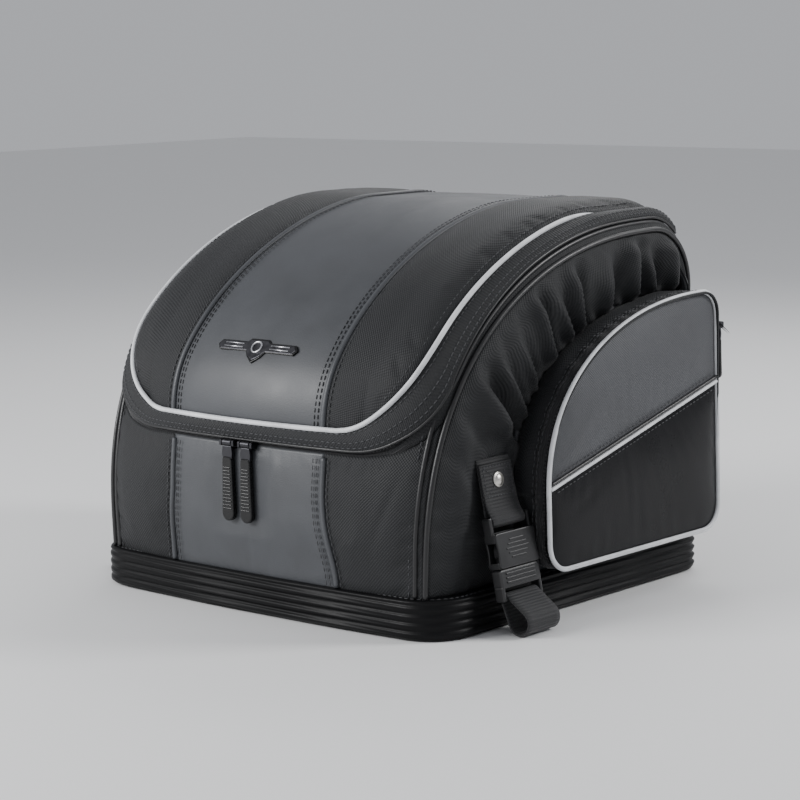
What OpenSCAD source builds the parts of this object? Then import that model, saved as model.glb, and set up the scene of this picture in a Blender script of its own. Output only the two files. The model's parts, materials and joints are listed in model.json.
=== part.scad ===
// Expandable motorcycle tail bag: a domed, zipped luggage bag that straps onto a rack.
// Millimetres. +Z up, -Y towards the rear of the vehicle, +X its right-hand side.
// The origin is the middle of the flat base.

/* [Body] */
// Width between the two flat side panels
body_w = 336; // [310:2:350]
// Height of the side panels' arched top
side_h = 278; // [260:1:290]
// Thickness of the padded fabric walls
wall_t = 5; // [3:0.5:7]
// How far the rear face bows out at its middle
rear_bow = 5; // [4:1:7]
// Width of the smooth centre panel on the rear face and the lid
centre_w = 150; // [120:2:180]

/* [Base] */
// Width of the base band
base_w = 360; // [350:2:376]
// Height of the ribbed base band
base_h = 30; // [24:1:36]
// Ribs on the base band
rib_count = 4; // [3:1:5]

/* [Lid] */
// Width of the lid between its side pipings
lid_w = 302; // [290:1:304]
// Height of the lid's crown above the base
lid_h = 298; // [290:1:310]
// Thickness of the padded lid
lid_t = 6; // [4:0.5:8]
// Height of the zip line on the rear face
zip_z = 132; // [128:1:134]

/* [Side pockets] */
// Depth of each side pocket, from the side panel to its face
pocket_d = 31; // [24:1:40]
// Height of the pocket's top edge
pocket_h = 228; // [200:1:235]

/* [Straps] */
// Webbing width of the mounting straps
web_w = 38; // [30:1:40]
// Lean of the mounting straps away from the bag, degrees
strap_lean = 12; // [10:0.5:13]
// Inner radius of the loop that goes round a rack rail
loop_r = 8.1; // [7.5:0.1:8.5]

/* [Hidden] */
$fn = 48;

// Body plan
half_w = body_w / 2;
rear_y = -169;      // rear face at its corners
front_y = 158;
rear_r = 14;        // rear vertical corners
front_r = 12;       // front vertical corners
base_rear_y = -173;
base_front_y = 166;
base_r = 36;
base_front_r = 24;
band_t = 5;
band_cap_t = 4;     // the band's top, which reaches in under the walls
rib_proud = 2;
rib_start = 1.5;
rib_share = 0.62;   // a rib's share of the ribs' pitch
floor_t = 4;
board_t = 8;        // stiff board with its foam pad
board_gap = 1;
far = 300;          // beyond the bag on every side
fit_gap = 0.2;      // between pieces that are drawn touching
chord = half_w - rear_r;
bow_r = (chord * chord + rear_bow * rear_bow) / (2 * rear_bow);
rear_mid_y = rear_y - rear_bow;
centre_half = centre_w / 2;

// Side view of the side panels
side_y0 = -162;
side_z0 = 54;       // where the rear edge starts to curve forward
side_top_y = 108;
side_corner = 50;
side_n = 2.5;       // exponent of the superellipse
side_in = rear_r + 10;
cord_out = 3;       // side piping, outside and inside the side panel's outline
cord_in = 1.2;
cord_proud = 4;
gusset_out = 6;

// Side view of the lid
lid_y0 = -178.5;
lid_z0 = 149;
lid_top_y = 60;
lid_n = 1.75;
lid_corner_y = 112;
lid_corner_r = 46;
lid_half = lid_w / 2;
hinge_a = 45;       // where on the front corner the fabric hinge lies
hinge_gap_a = 0.9;
lid_plan_r = 39;    // rear corners of the lid, seen from above
piping_r = 2.2;
piping_out = 3.6;   // from the lid's edge to the middle of its piping
flap_z = zip_z + 4;
flap_t = 2.8;
skirt_gap = 8;      // from the side panel's outline to the skirt of the lid
zip_gap = 0.3;
tape_t = 3;
tape_out = -174;    // rear face of the lid's zip tape
tape_h = 12;
tape_x = lid_half + 6;
tape_top_z = lid_z0 - 4;
skirt_t = 1.8;
coil_t = 1.2;
coil_w = 2.2;
coil_h = 3;
welt_w = 10;
welt_t = 3;
badge_half = 41;
badge_half_h = 6;
badge_t = 3;
badge_at = 22;      // how far over the lid it lies, 0 at the rear edge, 90 at the crown
mesh_half = 118;
mesh_y = [-90, 96];
mesh_t = 1.2;
mesh_gap = 3;       // from the lid's lining to the mesh
mesh_edge = 8;
rear_top_z = zip_z - tape_h;

// Side pockets
pocket_y0 = -68;
pocket_y1 = 153;
pocket_z0 = 39;
pocket_curve_z = 96;
pocket_corner_r = 18;
pocket_top_y = pocket_y1 - pocket_corner_r;
pocket_n = 2.2;
pocket_foot_r = 20;
pocket_wall = 3;
pocket_x0 = half_w + 0.2;
pocket_x1 = half_w + pocket_d;
door_gap = 0.5;
door_t = 5;
door_x = pocket_x1 + door_gap;
face_gap = 1.6;     // from the face's seam to the edge of each half
zipper_t = 1.3;
zipper_w = 10;
door_pipe_w = 3.3;  // silver piping round the door
door_pipe_x = [door_x + 1.5, door_x + 7];
seam_pipe_x = [door_x + 1.5, door_x + 6.5];
seam_a = [pocket_y0, 100];   // the slanting seam of the pocket face, rear end
seam_b = [pocket_y1, 156];   // and front end

// Sliders and pulls
meet_x = -5;        // where the two main sliders meet
slider_apart = 19;
pin_r = 1;
link_hole_r = 1.5;
link_r = 2.6;
pin_out = 10;       // pull pin to the tape's face
main_pull_l = 60;
pocket_pull_l = 44;
main_pull_w = 12;
pocket_pull_w = 8;
pocket_slider_x = pocket_x1 - zipper_w / 2;
pocket_slider_z = 200;

// Mounting straps, in a frame that hangs from the top of the tab
strap_x = half_w + 0.6;
strap_y = -97;
strap_z = 125;
buckle_half = 23;
buckle_t = 12;
web_t = 1.8;
tab_x = [0.8, 3.2];
bar_x = 5;
tab_bar_z = -46;
tab_eye_r = [2.4, 4.2];
rivet_z = -16;
female_z = [-80, -54];
female_bar_r = 2.3;
cavity_half = 20.2;
cavity_x = [2.2, 9.8];
window_z = [female_z[0] + 6, female_z[1] - 8];
male_z = [-104, -80.4];
male_x = [1.5, 10.5];
male_gap_half = 19.7;   // opening for the webbing
male_bar = [6, -101.5];
bar_r = 1.8;
guide_z = -60;
prong_x = [3.6, 8.4];
prong_y = [13.5, 17.6];
prong_z = [-79.8, -62];
hook_y = [17, 18.4];
hook_z = [-72, -64];
loop_c = [209, 10.2];

// Front face
sleeve_half = 122;
sleeve_z = [52, 190];
sleeve_gap = 11;
sleeve_t = 2.5;
sleeve_side = 5;
front_gap = 0.1;
axle_out = 4;       // handle and ring axles, out from the front panel
anchor_t = 2.5;
handle_z = 234;
handle_half = 58;
handle_drop = 32;
grip_r = 7.5;
ring_x = 132;
ring_z = 236;
ring_r = 14;
wire_r = 2;

function arc(c, r, a0, a1, k) =
    [for (i = [0:k]) let (a = a0 + (a1 - a0) * i / k) [c[0] + r * cos(a), c[1] + r * sin(a)]];
// A quarter of a superellipse, from p (upright) to q (level)
function quarter(p, q, n, k) =
    [for (i = [0:k]) let (t = 90 * i / k)
        [q[0] - (q[0] - p[0]) * pow(cos(t), 2 / n), p[1] + (q[1] - p[1]) * pow(sin(t), 2 / n)]];
function back(v) = [for (i = [len(v) - 1:-1:0]) v[i]];

// A rounded rectangle with a bowed rear edge, seen from above
function plan(hw, yr, yf, rr, rf, bow, g = 0) =
    let (c = hw - rr, r = (c * c + bow * bow) / (2 * bow), a = asin(c / r))
    concat(
        arc([0, yr - bow + r], r + g, -90 - a, -90 + a, 16),
        arc([c, yr + rr], rr + g, -88, 0, 8),
        arc([hw - rf, yf - rf], rf + g, 0, 90, 4),
        arc([rf - hw, yf - rf], rf + g, 90, 180, 4),
        arc([-c, yr + rr], rr + g, 180, 268, 8));
function body_plan(g) = plan(half_w, rear_y, front_y, rear_r, front_r, rear_bow, g);
function base_plan(g) =
    plan(base_w / 2, base_rear_y, base_front_y, base_r, base_front_r, rear_bow, g);

// Side views, as [y, z]
function side_view(g, foot = base_h) = concat(
    [[side_y0 - g, foot]],
    quarter([side_y0 - g, side_z0], [side_top_y, side_h + g], side_n, 20),
    arc([side_top_y, side_h - side_corner], side_corner + g, 80, 0, 8),
    [[front_y + g, foot]]);
function lid_view(g) = concat(
    quarter([lid_y0 - g, lid_z0], [lid_top_y, lid_h + g], lid_n, 24),
    arc([lid_corner_y, lid_h - lid_corner_r], lid_corner_r + g, 90, hinge_a + hinge_gap_a, 6));
function lid_at(t) = quarter([lid_y0, lid_z0], [lid_top_y, lid_h], lid_n, 90)[t];
// Height of the lid's surface at y
function lid_z(y) = y > lid_top_y ? lid_h
    : lid_z0 + (lid_h - lid_z0) * pow(1 - pow((lid_top_y - y) / (lid_top_y - lid_y0), lid_n), 1 / lid_n);
function lid_plan(g) = concat(
    [[-lid_half - g, front_y + 20]],
    arc([lid_plan_r - lid_half, lid_y0 + lid_plan_r], lid_plan_r + g, 180, 270, 10),
    arc([lid_half - lid_plan_r, lid_y0 + lid_plan_r], lid_plan_r + g, 270, 360, 10),
    [[lid_half + g, front_y + 20]]);
function pocket_view(g) = concat(
    quarter([pocket_y0 - g, pocket_curve_z], [pocket_top_y, pocket_h + g], pocket_n, 20),
    arc([pocket_top_y, pocket_h - pocket_corner_r], pocket_corner_r + g, 75, 0, 5),
    arc([pocket_y1 - pocket_foot_r, pocket_z0 + pocket_foot_r], pocket_foot_r + g, 0, -90, 6),
    arc([pocket_y0 + pocket_foot_r, pocket_z0 + pocket_foot_r], pocket_foot_r + g, -90, -180, 6));

// Extrudes a side view [y, z] from x0 to x1
module along_x(x0, x1) {
    translate([x0, 0, 0]) rotate([90, 0, 90]) linear_extrude(x1 - x0) children();
}
module upright(z0, z1) {
    translate([0, 0, z0]) linear_extrude(z1 - z0) children();
}
module box(lo, hi) {
    translate(lo) cube(hi - lo);
}
module on_left(left) {
    mirror([left ? 1 : 0, 0, 0]) children();
}
module lid_slice(x0, x1, g_out, g_in) {
    along_x(x0, x1) polygon(concat(lid_view(g_out), back(lid_view(g_in))));
}
module ring(points_out, points_in) {
    difference() {
        polygon(points_out);
        polygon(points_in);
    }
}

// Base
module base_panel() {
    color("dimgray") upright(0, floor_t) polygon(base_plan(-band_t - front_gap));
}
module base_band() {
    pitch = (base_h - 2 * rib_start) / rib_count;
    color("darkslategray") {
        upright(0, base_h - band_cap_t) ring(base_plan(0), base_plan(-band_t));
        upright(base_h - band_cap_t, base_h) ring(base_plan(0), body_plan(-wall_t));
        for (i = [0:rib_count - 1]) let (z = rib_start + i * pitch)
            upright(z, z + pitch * rib_share) ring(base_plan(rib_proud), base_plan(0));
    }
}
module floor_board() {
    color("gray") upright(floor_t, floor_t + board_t) polygon(body_plan(-wall_t - board_gap));
}

// Walls
module wall(z0, z1, g = 0) {
    upright(z0, z1) ring(body_plan(g), body_plan(-wall_t));
}
module rear_panel(left) {
    color("dimgray") on_left(left) difference() {
        intersection() {
            wall(base_h, rear_top_z);
            box([centre_half, rear_mid_y - 2, base_h], [half_w + 1, 0, rear_top_z]);
        }
        along_x(centre_half - 1, half_w + 2) polygon(side_view(0, 0));
    }
}
module rear_center_panel() {
    color("slategray") intersection() {
        wall(base_h, rear_top_z, 1);
        box([-centre_half, rear_mid_y - 3, base_h], [centre_half, 0, rear_top_z]);
    }
}
module side_panel(left) {
    color("dimgray") on_left(left) intersection() {
        wall(base_h, side_h);
        along_x(half_w - side_in, half_w + 1) polygon(side_view(0));
        box([half_w - side_in, rear_y, base_h], [half_w + 1, front_y - wall_t - 1, side_h + 1]);
    }
}
module front_panel() {
    corner = [lid_corner_y, lid_h - lid_corner_r];
    color("dimgray") {
        along_x(-tape_x + 1, tape_x - 1) polygon(concat(
            [[front_y, base_h]],
            arc(corner, lid_corner_r, 0, hinge_a - hinge_gap_a, 6),
            arc(corner, lid_corner_r - wall_t, hinge_a - hinge_gap_a, 0, 6),
            [[front_y - wall_t, base_h]]));
        for (s = [0, 1]) on_left(s == 1) intersection() {
            wall(base_h, side_h - side_corner);
            box([tape_x - 1, front_y - wall_t - 1, base_h], [half_w + 1, front_y + 1, side_h]);
        }
    }
}
module backrest_sleeve() {
    y0 = front_y + front_gap;
    y1 = y0 + sleeve_gap;
    color("dimgray") difference() {
        box([-sleeve_half, y0, sleeve_z[0]], [sleeve_half, y1 + sleeve_t, sleeve_z[1]]);
        box([-sleeve_half + sleeve_side, y0 - 1, sleeve_z[0] - 1],
            [sleeve_half - sleeve_side, y1, sleeve_z[1] - sleeve_side]);
    }
}
module side_piping(left) {
    color("black") on_left(left) difference() {
        along_x(half_w - 6, half_w + cord_proud)
            polygon(concat(side_view(cord_out), back(side_view(-cord_in))));
        upright(0, lid_h) polygon(body_plan(fit_gap - 0.05));
    }
}
module zip_gusset(left) {
    color("dimgray") on_left(left) intersection() {
        along_x(tape_x + 0.5, half_w - fit_gap)
            polygon(concat(side_view(gusset_out), back(side_view(cord_out + fit_gap))));
        box([0, -far, rear_top_z + fit_gap], [far, front_y - 2, far]);
    }
}

// Main zip
module rear_zip_tape() {
    color("black") difference() {
        intersection() {
            upright(rear_top_z, zip_z - zip_gap) ring(body_plan(0), body_plan(-tape_t));
            box([-half_w, rear_mid_y - 2, 0], [half_w, rear_y + rear_r, zip_z]);
        }
        along_x(-far, far) polygon(side_view(gusset_out + fit_gap, 0));
    }
}
module zip_coil_body() {
    color("black") {
        intersection() {
            upright(zip_z - coil_h, zip_z - zip_gap) ring(body_plan(coil_t), body_plan(0.1));
            box([-chord, rear_mid_y - 3, 0], [chord, 0, zip_z]);
        }
        for (s = [0, 1]) on_left(s == 1) intersection() {
            along_x(tape_x + 0.5, tape_x + 0.5 + coil_w)
                polygon(concat(side_view(gusset_out + coil_t + 0.2), back(side_view(gusset_out + 0.1))));
            box([0, -far, zip_z], [far, front_y - 2, far]);
        }
    }
}

// Lid
module lid_clip() {
    intersection() {
        children();
        upright(0, far) polygon(lid_plan(0));
    }
}
module lid_panel(left) {
    color("dimgray") on_left(left) lid_clip() lid_slice(centre_half, lid_half + 1, 0, -lid_t);
}
module lid_center_panel() {
    color("slategray") {
        lid_slice(-centre_half, centre_half, 1, -lid_t);
        for (s = [0, 1]) on_left(s == 1) difference() {
            lid_slice(centre_half - welt_w / 2, centre_half + welt_w / 2, welt_t, 0.5);
            box([0, lid_y0 - 5, 0], [lid_half, lid_y0 + 5, lid_z0 + 5]);
        }
    }
}
// A round tube along points
module tube(p, r, sides = 8) {
    n = len(p);
    function along(i) = p[min(i + 1, n - 1)] - p[max(i - 1, 0)];
    function unit(v) = v / norm(v);
    function right(i) = unit(cross(unit(along(i)), [0, 0.35, 1]));
    rings = [for (i = [0:n - 1]) let (u = right(i), v = cross(unit(along(i)), u))
        for (k = [0:sides - 1]) let (a = 360 * k / sides) p[i] + r * (cos(a) * u + sin(a) * v)];
    walls = [for (i = [0:n - 2], k = [0:sides - 1]) let (j = (k + 1) % sides)
        [i * sides + k, i * sides + j, (i + 1) * sides + j, (i + 1) * sides + k]];
    ends = [[for (k = [sides - 1:-1:0]) k], [for (k = [0:sides - 1]) (n - 1) * sides + k]];
    polyhedron(rings, concat(walls, ends), convexity = 8);
}
function piping_path() =
    let (side_end = lid_corner_y, side_start = lid_y0 + lid_plan_r, k = 22)
    let (half = concat(
        [for (q = arc([lid_half - lid_plan_r, side_start], lid_plan_r + piping_out, 270, 360, 12))
            [q[0], q[1], lid_z(max(q[1], lid_y0)) + 1]],
        [for (i = [1:k]) let (y = side_start + (side_end - side_start) * i / k)
            [lid_half + piping_out, y, lid_z(y) + 1]],
        [for (a = [80:-10:50]) [lid_half + piping_out, lid_corner_y + (lid_corner_r + 1) * cos(a),
            lid_h - lid_corner_r + (lid_corner_r + 1) * sin(a)]]))
    concat([for (q = back(half)) [-q[0], q[1], q[2]]], half);
module lid_piping() {
    color("silver") tube(piping_path(), piping_r);
}
// The lid's skirt in side view: under its shell, outside the side panel's outline
module skirt_outline() {
    difference() {
        polygon(concat(
            [[lid_y0, flap_z], [lid_y0, lid_z0 - fit_gap], [lid_y0 + lid_t, lid_z0 - fit_gap]],
            lid_view(-lid_t - fit_gap),
            [[lid_corner_y, lid_h - lid_corner_r], [lid_corner_y, flap_z]]));
        polygon(side_view(skirt_gap, 0));
    }
}
module lid_flap() {
    color("dimgray") difference() {
        intersection() {
            upright(flap_z, lid_h) ring(lid_plan(-fit_gap), lid_plan(-flap_t));
            along_x(-lid_half, lid_half) skirt_outline();
        }
        box([-far, tape_out - fit_gap, 0], [far, tape_out + tape_t + fit_gap, far]);
    }
}
module lid_zip_tape() {
    y1 = side_y0 + 2;
    color("black") {
        box([-lid_half, tape_out, zip_z + zip_gap],
            [lid_half, tape_out + tape_t, lid_z0 - 2 * fit_gap]);
        for (s = [0, 1]) on_left(s == 1) {
            box([lid_half - 1, tape_out, zip_z + zip_gap], [tape_x, tape_out + tape_t, tape_top_z]);
            box([tape_x - tape_t, tape_out, zip_z + zip_gap], [tape_x, y1, tape_top_z]);
            intersection() {
                along_x(lid_half - 5, tape_x) polygon(concat(
                    side_view(skirt_gap - fit_gap), back(side_view(skirt_gap - skirt_t))));
                difference() {
                    box([0, -far, zip_z + zip_gap], [half_w, front_y, lid_h]);
                    along_x(0, half_w) hinge_cut();
                }
            }
        }
    }
}
// What lies in front of the line through the lid's hinge, in side view
module hinge_cut() {
    c = [lid_corner_y, lid_h - lid_corner_r];
    a = hinge_a + hinge_gap_a;
    polygon([c, c + 200 * [cos(a), sin(a)], c + [200, 0], c + [0, -200]]);
}
module zip_coil_lid() {
    color("black") {
        for (s = [0, 1]) on_left(s == 1) difference() {
            along_x(tape_x - coil_w, tape_x)
                polygon(concat(side_view(skirt_gap + coil_t), back(side_view(skirt_gap))));
            along_x(0, half_w) hinge_cut();
            box([0, -far, 0], [half_w, far, tape_top_z]);
        }
        box([-chord, tape_out - coil_t, zip_z + zip_gap], [chord, tape_out - 0.1, zip_z + coil_h]);
    }
}
module lid_badge() {
    p = lid_at(badge_at);
    d = lid_at(badge_at + 1) - lid_at(badge_at - 1);
    flat = badge_half - badge_half_h;
    color("darkgray") translate([0, p[0], p[1]]) rotate([atan2(d[1], d[0]), 0, 0])
        translate([0, 0, 1.6]) linear_extrude(badge_t) polygon([
            [-badge_half, 0], [-flat, badge_half_h], [flat, badge_half_h],
            [badge_half, 0], [flat, -badge_half_h], [-flat, -badge_half_h]]);
}
module mesh_pocket() {
    color("gray") intersection() {
        lid_slice(-mesh_half, mesh_half, -lid_t - mesh_gap, -lid_t - mesh_gap - mesh_t);
        box([-mesh_half, mesh_y[0], 0], [mesh_half, mesh_y[1], lid_h]);
    }
}
module mesh_binding() {
    half = mesh_half + mesh_edge;
    inner = mesh_half + fit_gap;
    color("black") intersection() {
        lid_slice(-half, half, -lid_t - 0.1, -lid_t - 5);
        difference() {
            box([-half, mesh_y[0] - mesh_edge, 0], [half, mesh_y[1] + mesh_edge, lid_h]);
            box([-inner, mesh_y[0] - fit_gap, -1], [inner, mesh_y[1] + fit_gap, lid_h + 1]);
        }
    }
}

// A slider whose pull pin lies at the local origin, on a tape face at y = out
module slider(out, w = 10) {
    box([-w / 2, out - 7, -4], [w / 2, out - 3.6, 4]);
    for (s = [-1, 1]) translate([s * 3.7, 0, 0])
        box([-0.7, -1.5, -1.6], [0.7, out - 7, 1.6]);
    translate([-4.4, 0, 0]) rotate([0, 90, 0]) cylinder(r = pin_r, h = 8.8);
}
// A pull that hangs from the local origin
module pull(l, w, t) {
    difference() {
        union() {
            translate([-2.4, 0, 0]) rotate([0, 90, 0]) cylinder(r = link_r, h = 4.8);
            box([-2.4, -1.2, -14], [2.4, 1.2, -1]);
        }
        translate([-3, 0, 0]) rotate([0, 90, 0]) cylinder(r = link_hole_r, h = 6);
    }
    translate([0, t / 2, 0]) rotate([90, 0, 0]) linear_extrude(t) polygon(concat(
        arc([0, -12 - w * 0.3], w * 0.3, 180, 0, 8),
        arc([0, w / 2 - l], w / 2, 0, -180, 12)));
}
module at_main_slider(left) {
    x = meet_x + (left ? -1 : 1) * slider_apart / 2;
    translate([x, rear_mid_y - pin_out, zip_z - 1]) children();
}
module main_slider(left) {
    color("darkslategray") at_main_slider(left) slider(pin_out);
}
module main_pull(left) {
    color("black") at_main_slider(left) pull(main_pull_l, main_pull_w, 4.5);
}
module at_pocket_slider(left) {
    on_left(left) translate([pocket_slider_x, pocket_y1 + zipper_t + 0.1 + pin_out, pocket_slider_z])
        rotate([0, 0, 180]) children();
}
module pocket_slider(left) {
    color("darkslategray") at_pocket_slider(left) slider(pin_out, 9);
}
module pocket_pull(left) {
    color("black") at_pocket_slider(left) pull(pocket_pull_l, pocket_pull_w, 3.5);
}

// Side pockets
module pocket_gusset(left) {
    color("dimgray") on_left(left) along_x(pocket_x0, pocket_x1)
        ring(pocket_view(0), pocket_view(-pocket_wall));
}
module pocket_zipper(left) {
    color("black") on_left(left) along_x(pocket_x1 - zipper_w, pocket_x1)
        ring(pocket_view(zipper_t + 0.1), pocket_view(0.1));
}
module seam_half(up, gap) {
    s = up ? 1 : -1;
    polygon([
        [seam_a[0] - 40, seam_a[1] - 10 + s * gap], [seam_b[0] + 40, seam_b[1] + 10 + s * gap],
        [seam_b[0] + 40, s * far], [seam_a[0] - 40, s * far]]);
}
module pocket_face(left, up, t) {
    color(up ? "dimgray" : "slategray") on_left(left) along_x(door_x, door_x + t) intersection() {
        polygon(pocket_view(0));
        seam_half(up, face_gap);
    }
}
module pocket_piping(left) {
    color("silver") on_left(left) {
        along_x(door_pipe_x[0], door_pipe_x[1])
            ring(pocket_view(door_pipe_w + 0.1), pocket_view(0.1));
        along_x(seam_pipe_x[0], seam_pipe_x[1]) intersection() {
            polygon(pocket_view(0.05));
            difference() {
                seam_half(true, 0.1 - face_gap);
                seam_half(true, face_gap - 0.1);
            }
        }
    }
}

// Mounting straps
module at_strap(left) {
    on_left(left) translate([strap_x, strap_y, strap_z]) rotate([0, -strap_lean, 0]) children();
}
module along_y(w) {
    translate([0, w / 2, 0]) rotate([90, 0, 0]) linear_extrude(w) children();
}
module strap_tabs() {
    color("black") for (s = [0, 1]) at_strap(s == 1) difference() {
        union() {
            box([tab_x[0], -web_w / 2, tab_bar_z], [tab_x[1], web_w / 2, 0]);
            along_y(web_w) translate([bar_x, tab_bar_z]) circle(tab_eye_r[1]);
        }
        along_y(web_w + 2) translate([bar_x, tab_bar_z]) circle(tab_eye_r[0]);
    }
}
module tab_rivets() {
    color("silver") for (s = [0, 1]) at_strap(s == 1) translate([tab_x[1] + 0.1, 0, rivet_z])
        rotate([0, 90, 0]) {
            cylinder(r = 5.5, h = 1.2);
            cylinder(r = 4, h = 2.4);
        }
}
module buckle_female(left) {
    z0 = female_z[0];
    z1 = female_z[1];
    color("black") at_strap(left) {
        difference() {
            box([0, -buckle_half, z0], [buckle_t, buckle_half, z1]);
            box([cavity_x[0], -cavity_half, z0 - 1], [cavity_x[1], cavity_half, z1 - 3]);
            box([cavity_x[0], -buckle_half - 1, window_z[0]],
                [cavity_x[1], buckle_half + 1, window_z[1]]);
        }
        for (s = [-1, 1]) translate([0, s * 21.8, 0])
            box([1, -2, z1 - 0.5], [9, 2, tab_bar_z + 4]);
        translate([bar_x, -22, tab_bar_z]) rotate([-90, 0, 0])
            cylinder(r = female_bar_r, h = 44);
    }
}
module buckle_male(left) {
    z0 = male_z[0];
    z1 = male_z[1];
    color("black") at_strap(left) {
        difference() {
            box([male_x[0], -buckle_half, z0], [male_x[1], buckle_half, z1]);
            box([0, -male_gap_half, z0 - 1], [buckle_t, male_gap_half, z0 + 9]);
        }
        box([4, -3, z1 - 0.5], [8, 3, guide_z]);
        translate([male_bar[0], -20.5, male_bar[1]]) rotate([-90, 0, 0])
            cylinder(r = bar_r, h = 41);
    }
}
module prong(left, front) {
    color("black") at_strap(left) mirror([0, front ? 0 : 1, 0]) {
        box([prong_x[0], prong_y[0], prong_z[0]], [prong_x[1], prong_y[1], prong_z[1]]);
        box([prong_x[0], hook_y[0], hook_z[0]], [prong_x[1], hook_y[1], hook_z[1]]);
    }
}
// The webbing that goes round the male half's bar at one end and a rack rail at the other
function teardrop(a, ra, b, rb, k = 14) =
    let (d = b - a, h = atan2(d[1], d[0]), u = acos((ra - rb) / norm(d)))
    concat(arc(a, ra, h + u, h + 360 - u, k), arc(b, rb, h - u, h + u, k));
module strap_loop(left) {
    bar = [
        strap_x + male_bar[0] * cos(strap_lean) - male_bar[1] * sin(strap_lean),
        strap_z + male_bar[0] * sin(strap_lean) + male_bar[1] * cos(strap_lean)];
    color("black") on_left(left) translate([0, strap_y, 0]) difference() {
        along_y(web_w) ring(
            teardrop(bar, bar_r + 0.2 + web_t, loop_c, loop_r + web_t),
            teardrop(bar, bar_r + 0.2, loop_c, loop_r));
        translate([loop_c[0], -web_w, loop_c[1]]) rotate([-90, 0, 0])
            cylinder(r = loop_r, h = 2 * web_w);
    }
}

// Front face
module front_anchors() {
    color("black") translate([0, front_y + front_gap, 0]) for (s = [-1, 1]) {
        translate([s * handle_half, 0, handle_z]) difference() {
            union() {
                box([-13, 0, 3], [13, anchor_t, 22]);
                for (x = [-13, 5]) {
                    translate([x, axle_out, 0]) rotate([0, 90, 0]) cylinder(r = axle_out, h = 8);
                    box([x, 0, 0], [x + 8, anchor_t, axle_out]);
                }
            }
            translate([-14, axle_out, 0]) rotate([0, 90, 0]) cylinder(r = wire_r, h = 28);
        }
        translate([s * ring_x, 0, ring_z]) difference() {
            union() {
                box([-10, 0, 0], [10, anchor_t, 20]);
                translate([-10, axle_out, 0]) rotate([0, 90, 0]) cylinder(r = axle_out, h = 20);
            }
            translate([-11, axle_out, 0]) rotate([0, 90, 0]) cylinder(r = wire_r + 0.4, h = 22);
        }
    }
}
module carry_handle() {
    y = front_y + front_gap + axle_out;
    grip_z = handle_z - handle_drop;
    color("black") {
        for (s = [-1, 1]) {
            translate([s * handle_half - 12.8, y, handle_z]) rotate([0, 90, 0])
                cylinder(r = 1.8, h = 25.6);
            box([s * handle_half - 4.4, y - 1.5, grip_z], [s * handle_half + 4.4, y + 1.5, handle_z]);
        }
        translate([-handle_half - 8, y + 4, grip_z]) rotate([0, 90, 0])
            cylinder(r = grip_r, h = 2 * handle_half + 16);
    }
}
module d_ring(left) {
    color("silver") on_left(left) translate([ring_x, front_y + front_gap + axle_out, ring_z]) {
        translate([-ring_r, 0, 0]) rotate([0, 90, 0]) cylinder(r = wire_r, h = 2 * ring_r);
        rotate([90, 0, 0]) rotate([0, 0, 180]) rotate_extrude(angle = 180)
            translate([ring_r, 0]) circle(wire_r);
    }
}

base_panel();
base_band();
floor_board();
rear_panel(true);  // rear_panel_left
rear_panel(false);  // rear_panel_right
rear_center_panel();
side_panel(true);  // side_panel_left
side_panel(false);  // side_panel_right
front_panel();
backrest_sleeve();
side_piping(true);  // side_piping_left
side_piping(false);  // side_piping_right
zip_gusset(true);  // zip_gusset_left
zip_gusset(false);  // zip_gusset_right
rear_zip_tape();
zip_coil_body();
lid_panel(true);  // lid_panel_left
lid_panel(false);  // lid_panel_right
lid_center_panel();
lid_piping();
lid_flap();
lid_zip_tape();
zip_coil_lid();
lid_badge();
mesh_pocket();
mesh_binding();
main_slider(true);  // main_slider_left
main_slider(false);  // main_slider_right
main_pull(true);  // main_pull_left
main_pull(false);  // main_pull_right
pocket_gusset(true);  // pocket_gusset_left
pocket_gusset(false);  // pocket_gusset_right
pocket_zipper(true);  // pocket_zipper_left
pocket_zipper(false);  // pocket_zipper_right
pocket_face(true, true, door_t);  // pocket_upper_left
pocket_face(false, true, door_t);  // pocket_upper_right
pocket_face(true, false, door_t);  // pocket_lower_left
pocket_face(false, false, door_t);  // pocket_lower_right
pocket_piping(true);  // pocket_piping_left
pocket_piping(false);  // pocket_piping_right
pocket_slider(true);  // pocket_slider_left
pocket_slider(false);  // pocket_slider_right
pocket_pull(true);  // pocket_pull_left
pocket_pull(false);  // pocket_pull_right
strap_tabs();
tab_rivets();
buckle_female(true);  // buckle_female_left
buckle_female(false);  // buckle_female_right
buckle_male(true);  // buckle_male_left
buckle_male(false);  // buckle_male_right
prong(true, false);  // prong_rear_left
prong(true, true);  // prong_front_left
prong(false, false);  // prong_rear_right
prong(false, true);  // prong_front_right
strap_loop(true);  // strap_loop_left
strap_loop(false);  // strap_loop_right
front_anchors();
carry_handle();
d_ring(true);  // d_ring_left
d_ring(false);  // d_ring_right
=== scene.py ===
import json
import math
import random

import bmesh
import bpy
import numpy as np
from mathutils import Matrix, Vector


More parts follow.
